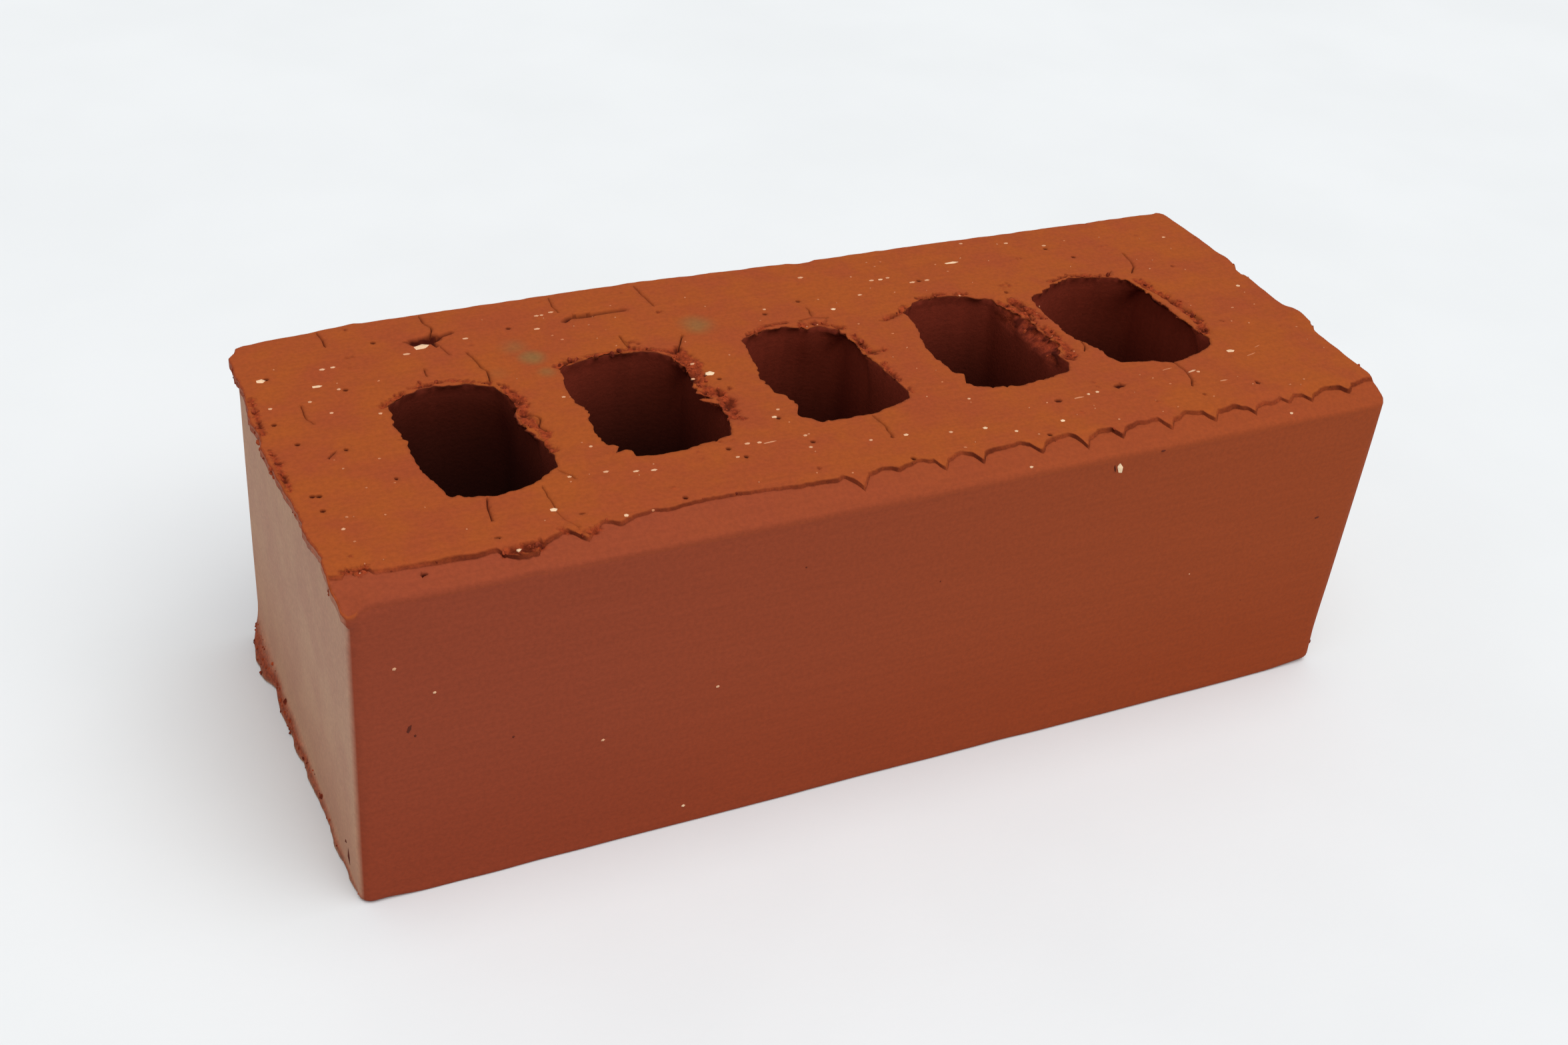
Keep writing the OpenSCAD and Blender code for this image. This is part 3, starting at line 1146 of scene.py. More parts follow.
        # Marks too near a ring are dropped, and so is the filling too near a mark
        if len(marks):
            good = clear_of(marks, rings, 0.12)
            number = np.cumsum(good) - 1
            mark_edges = [(number[a], number[b]) for a, b in mark_edges if good[a] and good[b]]
            marks = marks[good]
            cell = 0.3
            cells = {(int(x), int(y)) for x, y in np.floor(marks / cell)}
            near = np.array([any((int(x) + i, int(y) + j) in cells for i in (-1, 0, 1) for j in (-1, 0, 1))
                             for x, y in np.floor(filling / cell)])
            filling = filling[~near]
        points = np.vstack([*rings, marks.reshape(-1, 2), filling])
        starts = np.cumsum([0] + [len(ring) for ring in rings])
        edges = [(start + i, start + (i + 1) % len(ring)) for start, ring in zip(starts, rings)
                 for i in range(len(ring))]
        edges += [(starts[-1] + a, starts[-1] + b) for a, b in mark_edges]
        flat, _, faces, origin, _, _ = delaunay_2d_cdt(
            [Vector(p) for p in points.tolist()], [(int(a), int(b)) for a, b in edges], [], 0, 1e-6)
        plan = np.array([(p.x, p.y) for p in flat])
        new_number = np.full(len(points), -1)
        for number_out, sources in enumerate(origin):
            for source in sources:
                new_number[source] = number_out
        triangles = np.array(faces)
        on_ring = np.zeros(len(plan), bool)
        on_ring[new_number[:starts[-1]]] = True
        # Only triangles that hang on rings alone can lie in a hole or outside
        doubtful = on_ring[triangles].all(1)
        middles = plan[triangles[doubtful]].mean(1)
        keep = np.ones(len(triangles), bool)
        keep[doubtful] = clear_of(middles, rings, 0)
        numbers = [new_number[start:end] for start, end in zip(starts[:-1], starts[1:])]
        return plan, triangles[keep], numbers

    def build(self) -> bpy.types.Object:
        """Makes the whole body.

        Returns:
            The object, without a material.
        """
        mouths = [self._mouth(i) for i in range(len(self.size.seats))]
        edge_ring = self.places + self.normals * (self.lip - self.roll)[:, None]
        outlines = [edge_ring, *(mouth[-1] for mouth in mouths)]
        plan, triangles, rings = self._surface(outlines, self.grain, *self.relief.marks())
        height, masks = self.relief.shape(plan)
        for ring in rings[1:]:
            away = line_distance(plan, closed(plan[ring]), 4 * self.rim_reach)
            height -= self.rim_sink * np.exp(-away / self.rim_reach)
        numbers = self.draft.add(np.column_stack([plan, height]), masks)
        self.draft.face(numbers[triangles])
        feet = [self._outer_wall(numbers[rings[0]], height[rings[0]])]
        for index, (ring, mouth) in enumerate(zip(rings[1:], mouths)):
            feet.append(self._core_wall(index, numbers[ring], height[ring], mouth))
        self._lower_bed(feet)
        return self.draft.build("brick_clay", self.size)

    def _outer_wall(self, top: np.ndarray, top_z: np.ndarray) -> np.ndarray:
        """Builds the outer wall from the upper bed's edge down to the lower bed.

        Args:
            top: Numbers of the upper edge's vertices.
            top_z: Their heights.

        Returns:
            Numbers of the lowest ring's vertices.
        """
        ring = top
        skin = np.where(self.sides == Side.FRONT.value, 0.2, 1.0)
        for angle in np.radians(self.edge_angles):
            out = self.lip - self.roll * (1 - math.sin(angle))
            points = np.column_stack([self.places + self.normals * out[:, None],
                                      top_z - self.roll * (1 - math.cos(angle))])
            masks = {Mask.BED: skin * (1 - 0.4 * angle), Mask.TORN: 0.4 * self.header}
            ring = self.draft.below(ring, points, masks)
        for depth in self.bed_rows:
            ring = self.draft.below(ring, *self._wall_ring(top_z - self.roll - depth, depth))
        for height in self.mid_rows:
            points, masks = self._wall_ring(height, self.far_below)
            masks = {mask: values[0::2] for mask, values in masks.items()}
            ring = self.draft.below(ring, points[0::2], masks)
        for height in self.foot_rows:
            ring = self.draft.below(ring, *self._wall_ring(height, self.far_below))
        return ring

    def _lower_bed(self, feet: list[np.ndarray]) -> None:
        """Closes the brick underneath with a flat bed.

        Args:
            feet: Numbers of the lowest rings, the outer wall's first and then each core's.
        """
        rings = [self.draft.plan(ring) for ring in feet]
        plan, triangles, numbers = self._surface(rings, self.floor_grain, np.zeros((0, 2)), [])
        new = self.draft.add(np.column_stack([plan, np.zeros(len(plan))]), {Mask.BED: 1.0})
        for ring, own in zip(feet, numbers):
            new[own] = ring
        self.draft.face(new[triangles])


# ---------------------------------------------------------------------------------------------
# Shader node groups
# ---------------------------------------------------------------------------------------------


class NodeBoard:
    """Adds and joins nodes of one tree, in short words."""

    def __init__(self, tree: bpy.types.NodeTree) -> None:
        """Keeps the tree."""
        self.tree = tree

    def node(self, kind: str, inputs: dict[str | int, object] | None = None,
             **settings: object) -> bpy.types.Node:
        """Adds a node.

        Args:
            kind: The node's type name.
            inputs: Values or other nodes' outputs for its inputs, by name or place.
            settings: The node's own properties.

        Returns:
            The node.
        """
        new = self.tree.nodes.new(kind)
        for name, value in settings.items():
            setattr(new, name, value)
        for name, value in (inputs or {}).items():
            self.set(new.inputs[name], value)
        return new

    def set(self, socket: bpy.types.NodeSocket, value: object) -> None:
        """Joins an output to a socket, or gives it a value."""
        if isinstance(value, bpy.types.NodeSocket):
            self.tree.links.new(value, socket)
        else:
            socket.default_value = value

    def math(self, operation: str, *values: object) -> bpy.types.NodeSocket:
        """Adds a Math node and gives its output."""
        return self.node("ShaderNodeMath", dict(enumerate(values)), operation=operation).outputs[0]

    def rest(self, value: object) -> bpy.types.NodeSocket:
        """Gives what a value lacks to make 1."""
        return self.math("SUBTRACT", 1.0, value)

    def axis(self, place: object, number: int) -> bpy.types.NodeSocket:
        """Reads one coordinate of a place."""
        return self.node("ShaderNodeSeparateXYZ", {0: place}).outputs[number]

    def grey(self, shade: object) -> bpy.types.NodeSocket:
        """Makes a grey colour of one value."""
        return self.node("ShaderNodeCombineColor", dict.fromkeys(range(3), shade)).outputs[0]

    def mix(self, share: object, first: object, second: object, blend: str = "MIX") -> bpy.types.NodeSocket:
        """Mixes two colours.

        Args:
            share: How much of the second.
            first: The first colour.
            second: The second colour.
            blend: The way of mixing.

        Returns:
            The mixed colour.
        """
        new = self.node("ShaderNodeMix", data_type="RGBA", blend_type=blend)
        self.set(new.inputs[0], share)
        self.set(new.inputs[6], first)
        self.set(new.inputs[7], second)
        return new.outputs[2]

    def ramp(self, value: object, low: float, high: float) -> bpy.types.NodeSocket:
        """Stretches a value so that low becomes 0 and high becomes 1, and holds it there."""
        new = self.node("ShaderNodeMapRange", {0: value, 1: low, 2: high}, interpolation_type="SMOOTHSTEP")
        return new.outputs[0]

    def noise(self, place: object, scale: object, detail: float = 3,
              roughness: float = 0.55) -> bpy.types.NodeSocket:
        """Adds a noise texture, with a scale in swells for each metre."""
        inputs = {"Vector": place, "Scale": scale, "Detail": detail, "Roughness": roughness}
        return self.node("ShaderNodeTexNoise", inputs).outputs[0]

    def stretched(self, place: object, scale: tuple[float, float, float]) -> bpy.types.NodeSocket:
        """Stretches a place along the axes."""
        return self.node("ShaderNodeMapping", {"Vector": place, "Scale": scale}).outputs[0]

    def attribute(self, name: str) -> bpy.types.NodeSocket:
        """Reads a surface mask of the mesh."""
        return self.node("ShaderNodeAttribute", attribute_name=name).outputs["Fac"]

    def bump(self, height: object, strength: float, distance: float,
             normal: object = None) -> bpy.types.NodeSocket:
        """Turns a height into a normal.

        Args:
            height: The height's socket.
            strength: Share of the full effect.
            distance: Metres that a height of 1 stands for.
            normal: A normal to add to, or None.

        Returns:
            The normal.
        """
        node = self.node("ShaderNodeBump", {"Height": height, "Strength": strength, "Distance": distance})
        if normal is not None:
            self.set(node.inputs["Normal"], normal)
        return node.outputs[0]


def group_tree(name: str, inputs: dict[str, float | None],
               outputs: tuple[str, ...]) -> tuple[NodeBoard, bpy.types.Node, bpy.types.Node]:
    """Starts a shader node group.

    Args:
        name: The group's name.
        inputs: Each input's name and its default, a number or None for a vector.
        outputs: Names of the outputs, each of them a number.

    Returns:
        The board, the group's input node and its output node.
    """
    tree = bpy.data.node_groups.new(name, "ShaderNodeTree")
    for label, default in inputs.items():
        kind = "NodeSocketVector" if default is None else "NodeSocketFloat"
        socket = tree.interface.new_socket(label, in_out="INPUT", socket_type=kind)
        if default is not None:
            socket.default_value = default
    for label in outputs:
        tree.interface.new_socket(label, in_out="OUTPUT", socket_type="NodeSocketFloat")
    board = NodeBoard(tree)
    return board, board.node("NodeGroupInput"), board.node("NodeGroupOutput")


def clay_grain_group() -> bpy.types.NodeTree:
    """Makes the grain of fired clay: sandy pores, soft mottling and a height.

    Returns:
        The group, with outputs Mottle, Sand and Height.
    """
    board, given, result = group_tree(
        "Clay grain",
        {"Place": None, "Grain size": 0.0008, "Pores": 0.5, "Mottle size": 0.012},
        ("Mottle", "Sand", "Height"))
    place = given.outputs["Place"]
    grain_scale = board.math("DIVIDE", 1.0, given.outputs["Grain size"])
    mottle_scale = board.math("DIVIDE", 1.0, given.outputs["Mottle size"])
    sand = board.noise(place, grain_scale, 4, 0.62)
    mottle = board.noise(place, mottle_scale, 3, 0.6)
    pore_scale = board.math("MULTIPLY", grain_scale, 0.55)
    cells = board.node("ShaderNodeTexVoronoi", {"Vector": place, "Scale": pore_scale})
    pore = board.rest(board.ramp(cells.outputs["Distance"], 0.05, 0.3))
    rare = board.ramp(board.noise(place, 420, 1), 0.56, 0.66)
    pore = board.math("MULTIPLY", board.math("MULTIPLY", pore, rare), given.outputs["Pores"])
    board.set(result.inputs["Mottle"], board.ramp(mottle, 0.3, 0.7))
    board.set(result.inputs["Sand"], board.ramp(sand, 0.3, 0.7))
    board.set(result.inputs["Height"], board.math("SUBTRACT", sand, pore))
    return board.tree


def drag_group() -> bpy.types.NodeTree:
    """Makes the fine lines that wire, die or belt drag along a clay face.

    Returns:
        The group, with outputs Lines and Height.
    """
    board, given, result = group_tree(
        "Drag lines",
        {"Place": None, "Line size": 0.0009, "Length": 0.02},
        ("Lines", "Height"))
    fine = board.math("DIVIDE", 1.0, given.outputs["Line size"])
    long = board.math("DIVIDE", 1.0, given.outputs["Length"])
    scale = board.node("ShaderNodeCombineXYZ", {0: long, 1: fine, 2: fine}).outputs[0]
    turned = board.node("ShaderNodeVectorMath", {0: given.outputs["Place"], 1: scale}, operation="MULTIPLY")
    lines = board.noise(turned.outputs[0], 1, 3, 0.6)
    board.set(result.inputs["Lines"], board.ramp(lines, 0.35, 0.68))
    board.set(result.inputs["Height"], lines)
    return board.tree


Colour = tuple[float, float, float, float]


def tone(red: int, green: int, blue: int) -> Colour:
    """Turns a screen colour of 0 to 255 into the linear colour that a shader takes."""
    def linear(part: int) -> float:
        """One channel."""
        share = part / 255
        return share / 12.92 if share <= 0.04045 else ((share + 0.055) / 1.055) ** 2.4
    return (linear(red), linear(green), linear(blue), 1.0)


@dataclass(frozen=True)
class Finish:
    """What every finish shares: a Principled BSDF, the fired grain and how far it takes up the light.

    A finish that is made states its name, its grain's sizes in metres and its gloss.
    """

    grain: bpy.types.NodeTree

    def start(self) -> tuple[bpy.types.Material, NodeBoard, bpy.types.Node, bpy.types.NodeSocket,
                             bpy.types.Node]:
        """Makes the material.

        Returns:
            The material, its board, its shader node, the object coordinates and the grain's node.
        """
        material = bpy.data.materials.new(self.name)
        material.use_nodes = True
        material.node_tree.nodes.clear()
        board = NodeBoard(material.node_tree)
        shader = board.node("ShaderNodeBsdfPrincipled", {"Specular IOR Level": self.gloss})
        board.node("ShaderNodeOutputMaterial", {"Surface": shader.outputs[0]})
        place = board.node("ShaderNodeTexCoord").outputs["Object"]
        grain = board.node("ShaderNodeGroup", {"Place": place, "Grain size": self.grain_size,
                                               "Pores": self.pores, "Mottle size": self.mottle_size},
                           node_tree=self.grain)
        return material, board, shader, place, grain


@dataclass(frozen=True)
class FiredClay(Finish):
    """The clay's finish: orange wire-cut beds, redder stretchers darkened partly as painted shade, tan
    headers and dark torn edges, with painted shade in cracks, crevices, cores and at the foot.
    """

    drag: bpy.types.NodeTree
    name: str = "fired_clay"
    grain_size: float = 0.0009
    pores: float = 0.35
    mottle_size: float = 0.014
    gloss: float = 0.08
    drag_width: float = 0.0011
    drag_length: float = 0.028
    left_end: float = -0.11
    right_end: float = 0.12
    foot_from: float = 0.045
    foot_to: float = 0.004
    torn_share: float = 0.85
    bed: Colour = tone(158, 77, 32)
    bed_red: Colour = tone(152, 68, 38)
    # The upright faces' own redder tone, set darker than the bed partly as painted shade
    shaded_stretcher: Colour = tone(142, 65, 43)
    shaded_stretcher_orange: Colour = tone(150, 69, 33)
    header: Colour = tone(187, 148, 123)
    header_mauve: Colour = tone(180, 138, 117)
    stain: Colour = tone(112, 104, 62)
    # Colour of the painted shade down the cores
    core: Colour = tone(132, 50, 33)
    core_shade: Colour = tone(57, 21, 13)
    torn: Colour = tone(128, 45, 24)
    torn_bright: Colour = tone(172, 71, 36)
    # Colour of the painted shade in cracks, pits and crevices, and under the lip and the rims
    crack_and_shade: Colour = tone(62, 14, 4)
    # Painted shade at the foot, where it takes less light
    foot_shade: Colour = (0.96, 0.88, 0.82, 1.0)
    roughness: float = 0.81

    def make(self) -> bpy.types.Material:
        """Builds the material.

        Returns:
            The material.
        """
        material, board, shader, place, grain = self.start()
        drag = board.node("ShaderNodeGroup", {"Place": place, "Line size": self.drag_width,
                                              "Length": self.drag_length}, node_tree=self.drag)
        mottle, sand, lines = grain.outputs["Mottle"], grain.outputs["Sand"], drag.outputs["Lines"]
        masks = {mask: board.attribute(mask.value) for mask in Mask}
        # The faces, redder at the left end and more orange at the right, darker than the bed partly in their
        # own tone and partly as painted shade, with the bed over them
        broad = board.ramp(board.noise(place, 9, 2), 0.4, 0.62)
        rightward = board.ramp(board.axis(place, 0), self.left_end, self.right_end)
        bed = board.mix(board.math("MULTIPLY", mottle, 0.8), self.bed, self.bed_red)
        face = board.mix(board.math("MULTIPLY", rightward, 0.8), self.shaded_stretcher, self.shaded_stretcher_orange)
        face = board.mix(board.math("MULTIPLY", broad, 0.15), face, self.bed_red)
        bed = board.mix(masks[Mask.STAIN], bed, self.stain)
        colour = board.mix(masks[Mask.BED], face, bed)
        header = board.mix(mottle, self.header, self.header_mauve)
        off_bed = board.math("MULTIPLY", masks[Mask.HEADER], board.rest(masks[Mask.BED]))
        colour = board.mix(off_bed, colour, header)
        # The core walls, with painted shade that deepens on the way down and upright streaks, then the torn
        # clay and the painted shade of cracks, pits and crevices
        core = board.mix(masks[Mask.CORE_SHADE], self.core, self.core_shade)
        streaks = board.ramp(board.noise(board.stretched(place, (400, 400, 30)), 1, 3, 0.6), 0.3, 0.7)
        core = board.mix(board.math("MULTIPLY", streaks, 0.12), core, self.core_shade)
        colour = board.mix(masks[Mask.CORE], colour, core)
        torn = board.mix(sand, self.torn, self.torn_bright)
        colour = board.mix(board.math("MULTIPLY", masks[Mask.TORN], self.torn_share), colour, torn)
        colour = board.mix(masks[Mask.CRACK_AND_SHADE], colour, self.crack_and_shade)
        # The foot takes less light, painted in as a darker, redder shade, and the sand and the drag lines
        # vary the colour a little
        low_down = board.rest(board.ramp(board.axis(place, 2), self.foot_to, self.foot_from))
        colour = board.mix(low_down, colour, self.foot_shade, "MULTIPLY")
        shade = board.math("MULTIPLY_ADD", sand, 0.14, 0.93)
        shade = board.math("MULTIPLY", shade, board.math("MULTIPLY_ADD", lines, 0.045, 0.978))
        colour = board.mix(1.0, colour, board.grey(shade), "MULTIPLY")
        board.set(shader.inputs["Base Color"], colour)
        board.set(shader.inputs["Roughness"], board.math("MULTIPLY_ADD", sand, 0.1, self.roughness))
        normal = board.bump(grain.outputs["Height"], 0.5, 0.00022)
        normal = board.bump(drag.outputs["Height"], 0.3, 0.00014, normal)
        crumble = board.math("MULTIPLY", board.noise(place, 900, 4, 0.7), masks[Mask.TORN])
        board.set(shader.inputs["Normal"], board.bump(crumble, 0.9, 0.0009, normal))
        return material


@dataclass(frozen=True)
class TornCrumb(Finish):
    """Loose crumbs of torn clay, fired darker and redder than the faces."""

    name: str = "torn_crumb"
    grain_size: float = 0.0007
    pores: float = 0.4
    mottle_size: float = 0.0035
    gloss: float = 0.08
    dark: Colour = tone(96, 34, 22)
    bright: Colour = tone(172, 76, 42)
    roughness: float = 0.86

    def make(self) -> bpy.types.Material:
        """Builds the material.

        Returns:
            The material.
        """
        material, board, shader, _, grain = self.start()
        roughness = board.math("MULTIPLY_ADD", grain.outputs["Sand"], 0.08, self.roughness)
        board.set(shader.inputs["Base Color"], board.mix(grain.outputs["Mottle"], self.dark, self.bright))
        board.set(shader.inputs["Roughness"], roughness)
        board.set(shader.inputs["Normal"], board.bump(grain.outputs["Height"], 0.6, 0.0003))
        return material


@dataclass(frozen=True)
class PaleGrit(Finish):
    """Pale grog and lime specks in the clay."""

    name: str = "pale_grit"
    grain_size: float = 0.0006
    pores: float = 0.5
    mottle_size: float = 0.002
    gloss: float = 0.15
    roughness: float = 0.7
    pink: Colour = tone(196, 116, 74)
    cream: Colour = tone(244, 214, 176)
    iron: Colour = tone(92, 36, 22)

    def make(self) -> bpy.types.Material:
        """Builds the material.

        Returns:
            The material.
        """
        material, board, shader, _, grain = self.start()
        bright = board.attribute("brightness")
        colour = board.mix(bright, self.pink, self.cream)
        colour = board.mix(board.math("LESS_THAN", bright, -0.5), colour, self.iron)
        shade = board.math("MULTIPLY_ADD", grain.outputs["Sand"], 0.2, 0.85)
        roughness = board.math("MULTIPLY_ADD", grain.outputs["Sand"], 0.1, self.roughness)
        board.set(shader.inputs["Base Color"], board.mix(1.0, colour, board.grey(shade), "MULTIPLY"))
        board.set(shader.inputs["Roughness"], roughness)
        board.set(shader.inputs["Normal"], board.bump(grain.outputs["Height"], 0.5, 0.0002))
        return material


@dataclass(frozen=True)
class PaleFloor(Finish):
    """A plain pale painted floor."""

    name: str = "pale_floor"
    grain_size: float = 0.004
    pores: float = 0.0
    mottle_size: float = 0.11
    gloss: float = 0.5
    roughness: float = 0.7
    paint: Colour = (0.79, 0.814, 0.828, 1.0)
    paint_shade: Colour = (0.765, 0.789, 0.803, 1.0)

    def make(self) -> bpy.types.Material:
        """Builds the material.

        Returns:
            The material.
        """
        material, board, shader, _, grain = self.start()
        colour = board.mix(grain.outputs["Mottle"], self.paint, self.paint_shade)
        board.set(shader.inputs["Base Color"], colour)
        board.set(shader.inputs["Normal"], board.bump(grain.outputs["Height"], 0.1, 0.0004))
        board.set(shader.inputs["Roughness"], self.roughness)
        return material


# ---------------------------------------------------------------------------------------------
# Crumbs and grit, by geometry nodes
# ---------------------------------------------------------------------------------------------


def run_nodes(source: bpy.types.Object, tree: bpy.types.NodeTree, values: dict[str, object],
              name: str) -> bpy.types.Object:
    """Runs a geometry node tree over an object and keeps the result as a plain mesh.

    Args:
        source: The object that the tree reads.
        tree: The geometry node tree.
        values: Values for the tree's inputs, by their names.
        name: The new object's name.

    Returns:
        The new linked object.
    """
    modifier = source.modifiers.new("pattern", "NODES")
    modifier.node_group = tree
    for item in tree.interface.items_tree:
        if item.item_type == "SOCKET" and item.in_out == "INPUT" and item.name in values:
            modifier[item.identifier] = values[item.name]
    source.update_tag()
    bpy.context.view_layer.update()
    evaluated = source.evaluated_get(bpy.context.evaluated_depsgraph_get())
    mesh = bpy.data.meshes.new_from_object(evaluated)
    mesh.name = name
    source.modifiers.remove(modifier)
    return linked(name, mesh)


def geometry_tree(name: str, inputs: dict[str, tuple[str, object]]
                  ) -> tuple[NodeBoard, bpy.types.Node, bpy.types.Node]:
    """Starts a geometry node tree that takes and gives geometry.

    Args:
        name: The tree's name.
        inputs: Each further input's name, with its socket type and default.

    Returns:
        The board, the tree's input node and its output node.
    """
    tree = bpy.data.node_groups.new(name, "GeometryNodeTree")
    tree.interface.new_socket("Geometry", in_out="INPUT", socket_type="NodeSocketGeometry")
    for label, (kind, default) in inputs.items():
        socket = tree.interface.new_socket(label, in_out="INPUT", socket_type=kind)
        if default is not None:
            socket.default_value = default
    tree.interface.new_socket("Geometry", in_out="OUTPUT", socket_type="NodeSocketGeometry")
    board = NodeBoard(tree)
    return board, board.node("NodeGroupInput"), board.node("NodeGroupOutput")


def named_value(board: NodeBoard, name: str, kind: str = "FLOAT") -> bpy.types.NodeSocket:
    """Reads an attribute of the geometry.

    Args:
        board: The tree's board.
        name: The attribute's name.
        kind: Its data type.

    Returns:
        The value's socket.
    """
    return board.node("GeometryNodeInputNamedAttribute", {"Name": name}, data_type=kind).outputs[0]


def stone(board: NodeBoard, points: object, rotation: object, scale: object, shift: float,
          wavelength: float, finish: object) -> bpy.types.NodeSocket:
    """Puts a small uneven stone on each point, makes it real and gives it its finish.

    Args:
        board: The tree's board.
        points: The points' geometry.
        rotation: Each stone's turn.
        scale: Each stone's half sizes.
        shift: How far the surface is pushed about, in metres.
        wavelength: Size of those pushes, in metres.
        finish: The material's socket.

    Returns:
        The stones' geometry.
    """
    ball = board.node("GeometryNodeMeshIcoSphere", {"Radius": 1.0, "Subdivisions": 1}).outputs[0]
    placed = board.node("GeometryNodeInstanceOnPoints", {"Points": points, "Instance": ball,
                                                         "Rotation": rotation, "Scale": scale})
    real = board.node("GeometryNodeRealizeInstances", {0: placed.outputs[0]}).outputs[0]
    place = board.node("GeometryNodeInputPosition").outputs[0]
    noise = board.node("ShaderNodeTexNoise", {"Vector": place, "Scale": 1 / wavelength, "Detail": 1.0})
    middle = board.node("ShaderNodeVectorMath", {0: noise.outputs["Color"], 1: (0.5, 0.5, 0.5)},
                        operation="SUBTRACT")
    push = board.node("ShaderNodeVectorMath", {0: middle.outputs[0], "Scale": 2 * shift}, operation="SCALE")
    moved = board.node("GeometryNodeSetPosition", {"Geometry": real, "Offset": push.outputs[0]}).outputs[0]
    return board.node("GeometryNodeSetMaterial", {"Geometry": moved, "Material": finish}).outputs[0]


@dataclass
class CrumbScatter:
    """Crumbs that cling where the clay was torn, in metres and crumbs for each square metre."""

    name: str = "torn_crumbs"
    density: float = 600000.0
    low: float = 0.00014
    high: float = 0.0006
    seed: int = 3
    size_seed: int = 7
    shape_seed: int = 9
    torn_from: float = 0.25
    floor_gap: float = 1.9
    shift: float = 0.0002
    wavelength: float = 0.0007
    flattest: tuple[float, float, float] = (0.7, 0.6, 0.45)
    roundest: tuple[float, float, float] = (1.3, 1.0, 0.8)

    def build(self, body: bpy.types.Object, material: bpy.types.Material) -> bpy.types.Object:
        """Scatters the crumbs over the body's torn mask.

        Args:
            body: The clay body.
            material: The crumbs' finish.

        Returns:
            The crumbs as one object.
        """
        board, given, result = geometry_tree("Torn crumbs", {
            "Density": ("NodeSocketFloat", self.density), "Smallest": ("NodeSocketFloat", self.low),
            "Largest": ("NodeSocketFloat", self.high), "Seed": ("NodeSocketInt", self.seed),
            "Finish": ("NodeSocketMaterial", None)})
        torn = named_value(board, Mask.TORN.value)
        past = board.math("MAXIMUM", board.math("SUBTRACT", torn, self.torn_from), 0.0)
        above = board.axis(board.node("GeometryNodeInputPosition").outputs[0], 2)
        floor_gap = board.math("MULTIPLY", given.outputs["Largest"], self.floor_gap)
        share = board.math("MULTIPLY", board.math("POWER", past, 1.5),
                           board.math("GREATER_THAN", above, floor_gap))
        spread = board.node("GeometryNodeDistributePointsOnFaces", {
            "Mesh": given.outputs["Geometry"], "Seed": given.outputs["Seed"],
            "Density": board.math("MULTIPLY", share, given.outputs["Density"])})
        turn = board.node("FunctionNodeRandomValue", data_type="FLOAT_VECTOR")
        board.set(turn.inputs[1], (math.tau,) * 3)
        size = board.node("FunctionNodeRandomValue", data_type="FLOAT")
        board.set(size.inputs[2], 0.0)
        board.set(size.inputs[3], 1.0)
        board.set(size.inputs["Seed"], self.size_seed)
        span = board.math("SUBTRACT", given.outputs["Largest"], given.outputs["Smallest"])
        cubed = board.math("POWER", size.outputs[1], 2.5)
        radius = board.math("MULTIPLY_ADD", cubed, span, given.outputs["Smallest"])
        shape = board.node("FunctionNodeRandomValue", {0: self.flattest, 1: self.roundest},
                           data_type="FLOAT_VECTOR")
        board.set(shape.inputs["Seed"], self.shape_seed)
        scale = board.node("ShaderNodeVectorMath", {0: shape.outputs[0], "Scale": radius}, operation="SCALE")
        board.set(result.inputs[0], stone(board, spread.outputs["Points"], turn.outputs[0], scale.outputs[0],
                                          self.shift, self.wavelength, given.outputs["Finish"]))
        values = {"Density": self.density, "Smallest": self.low, "Largest": self.high, "Seed": self.seed,
                  "Finish": material}
        return run_nodes(body, board.tree, values, self.name)


@dataclass(frozen=True)
class Speck:
    """A speck on a face, in millimetres: place, half sizes, paleness (-1 for iron) and turn."""

    x: float
    y: float
    half_along: float = 0.5
    half_across: float = 0.4
    brightness: float = 0.4
    turn: float = 0.0


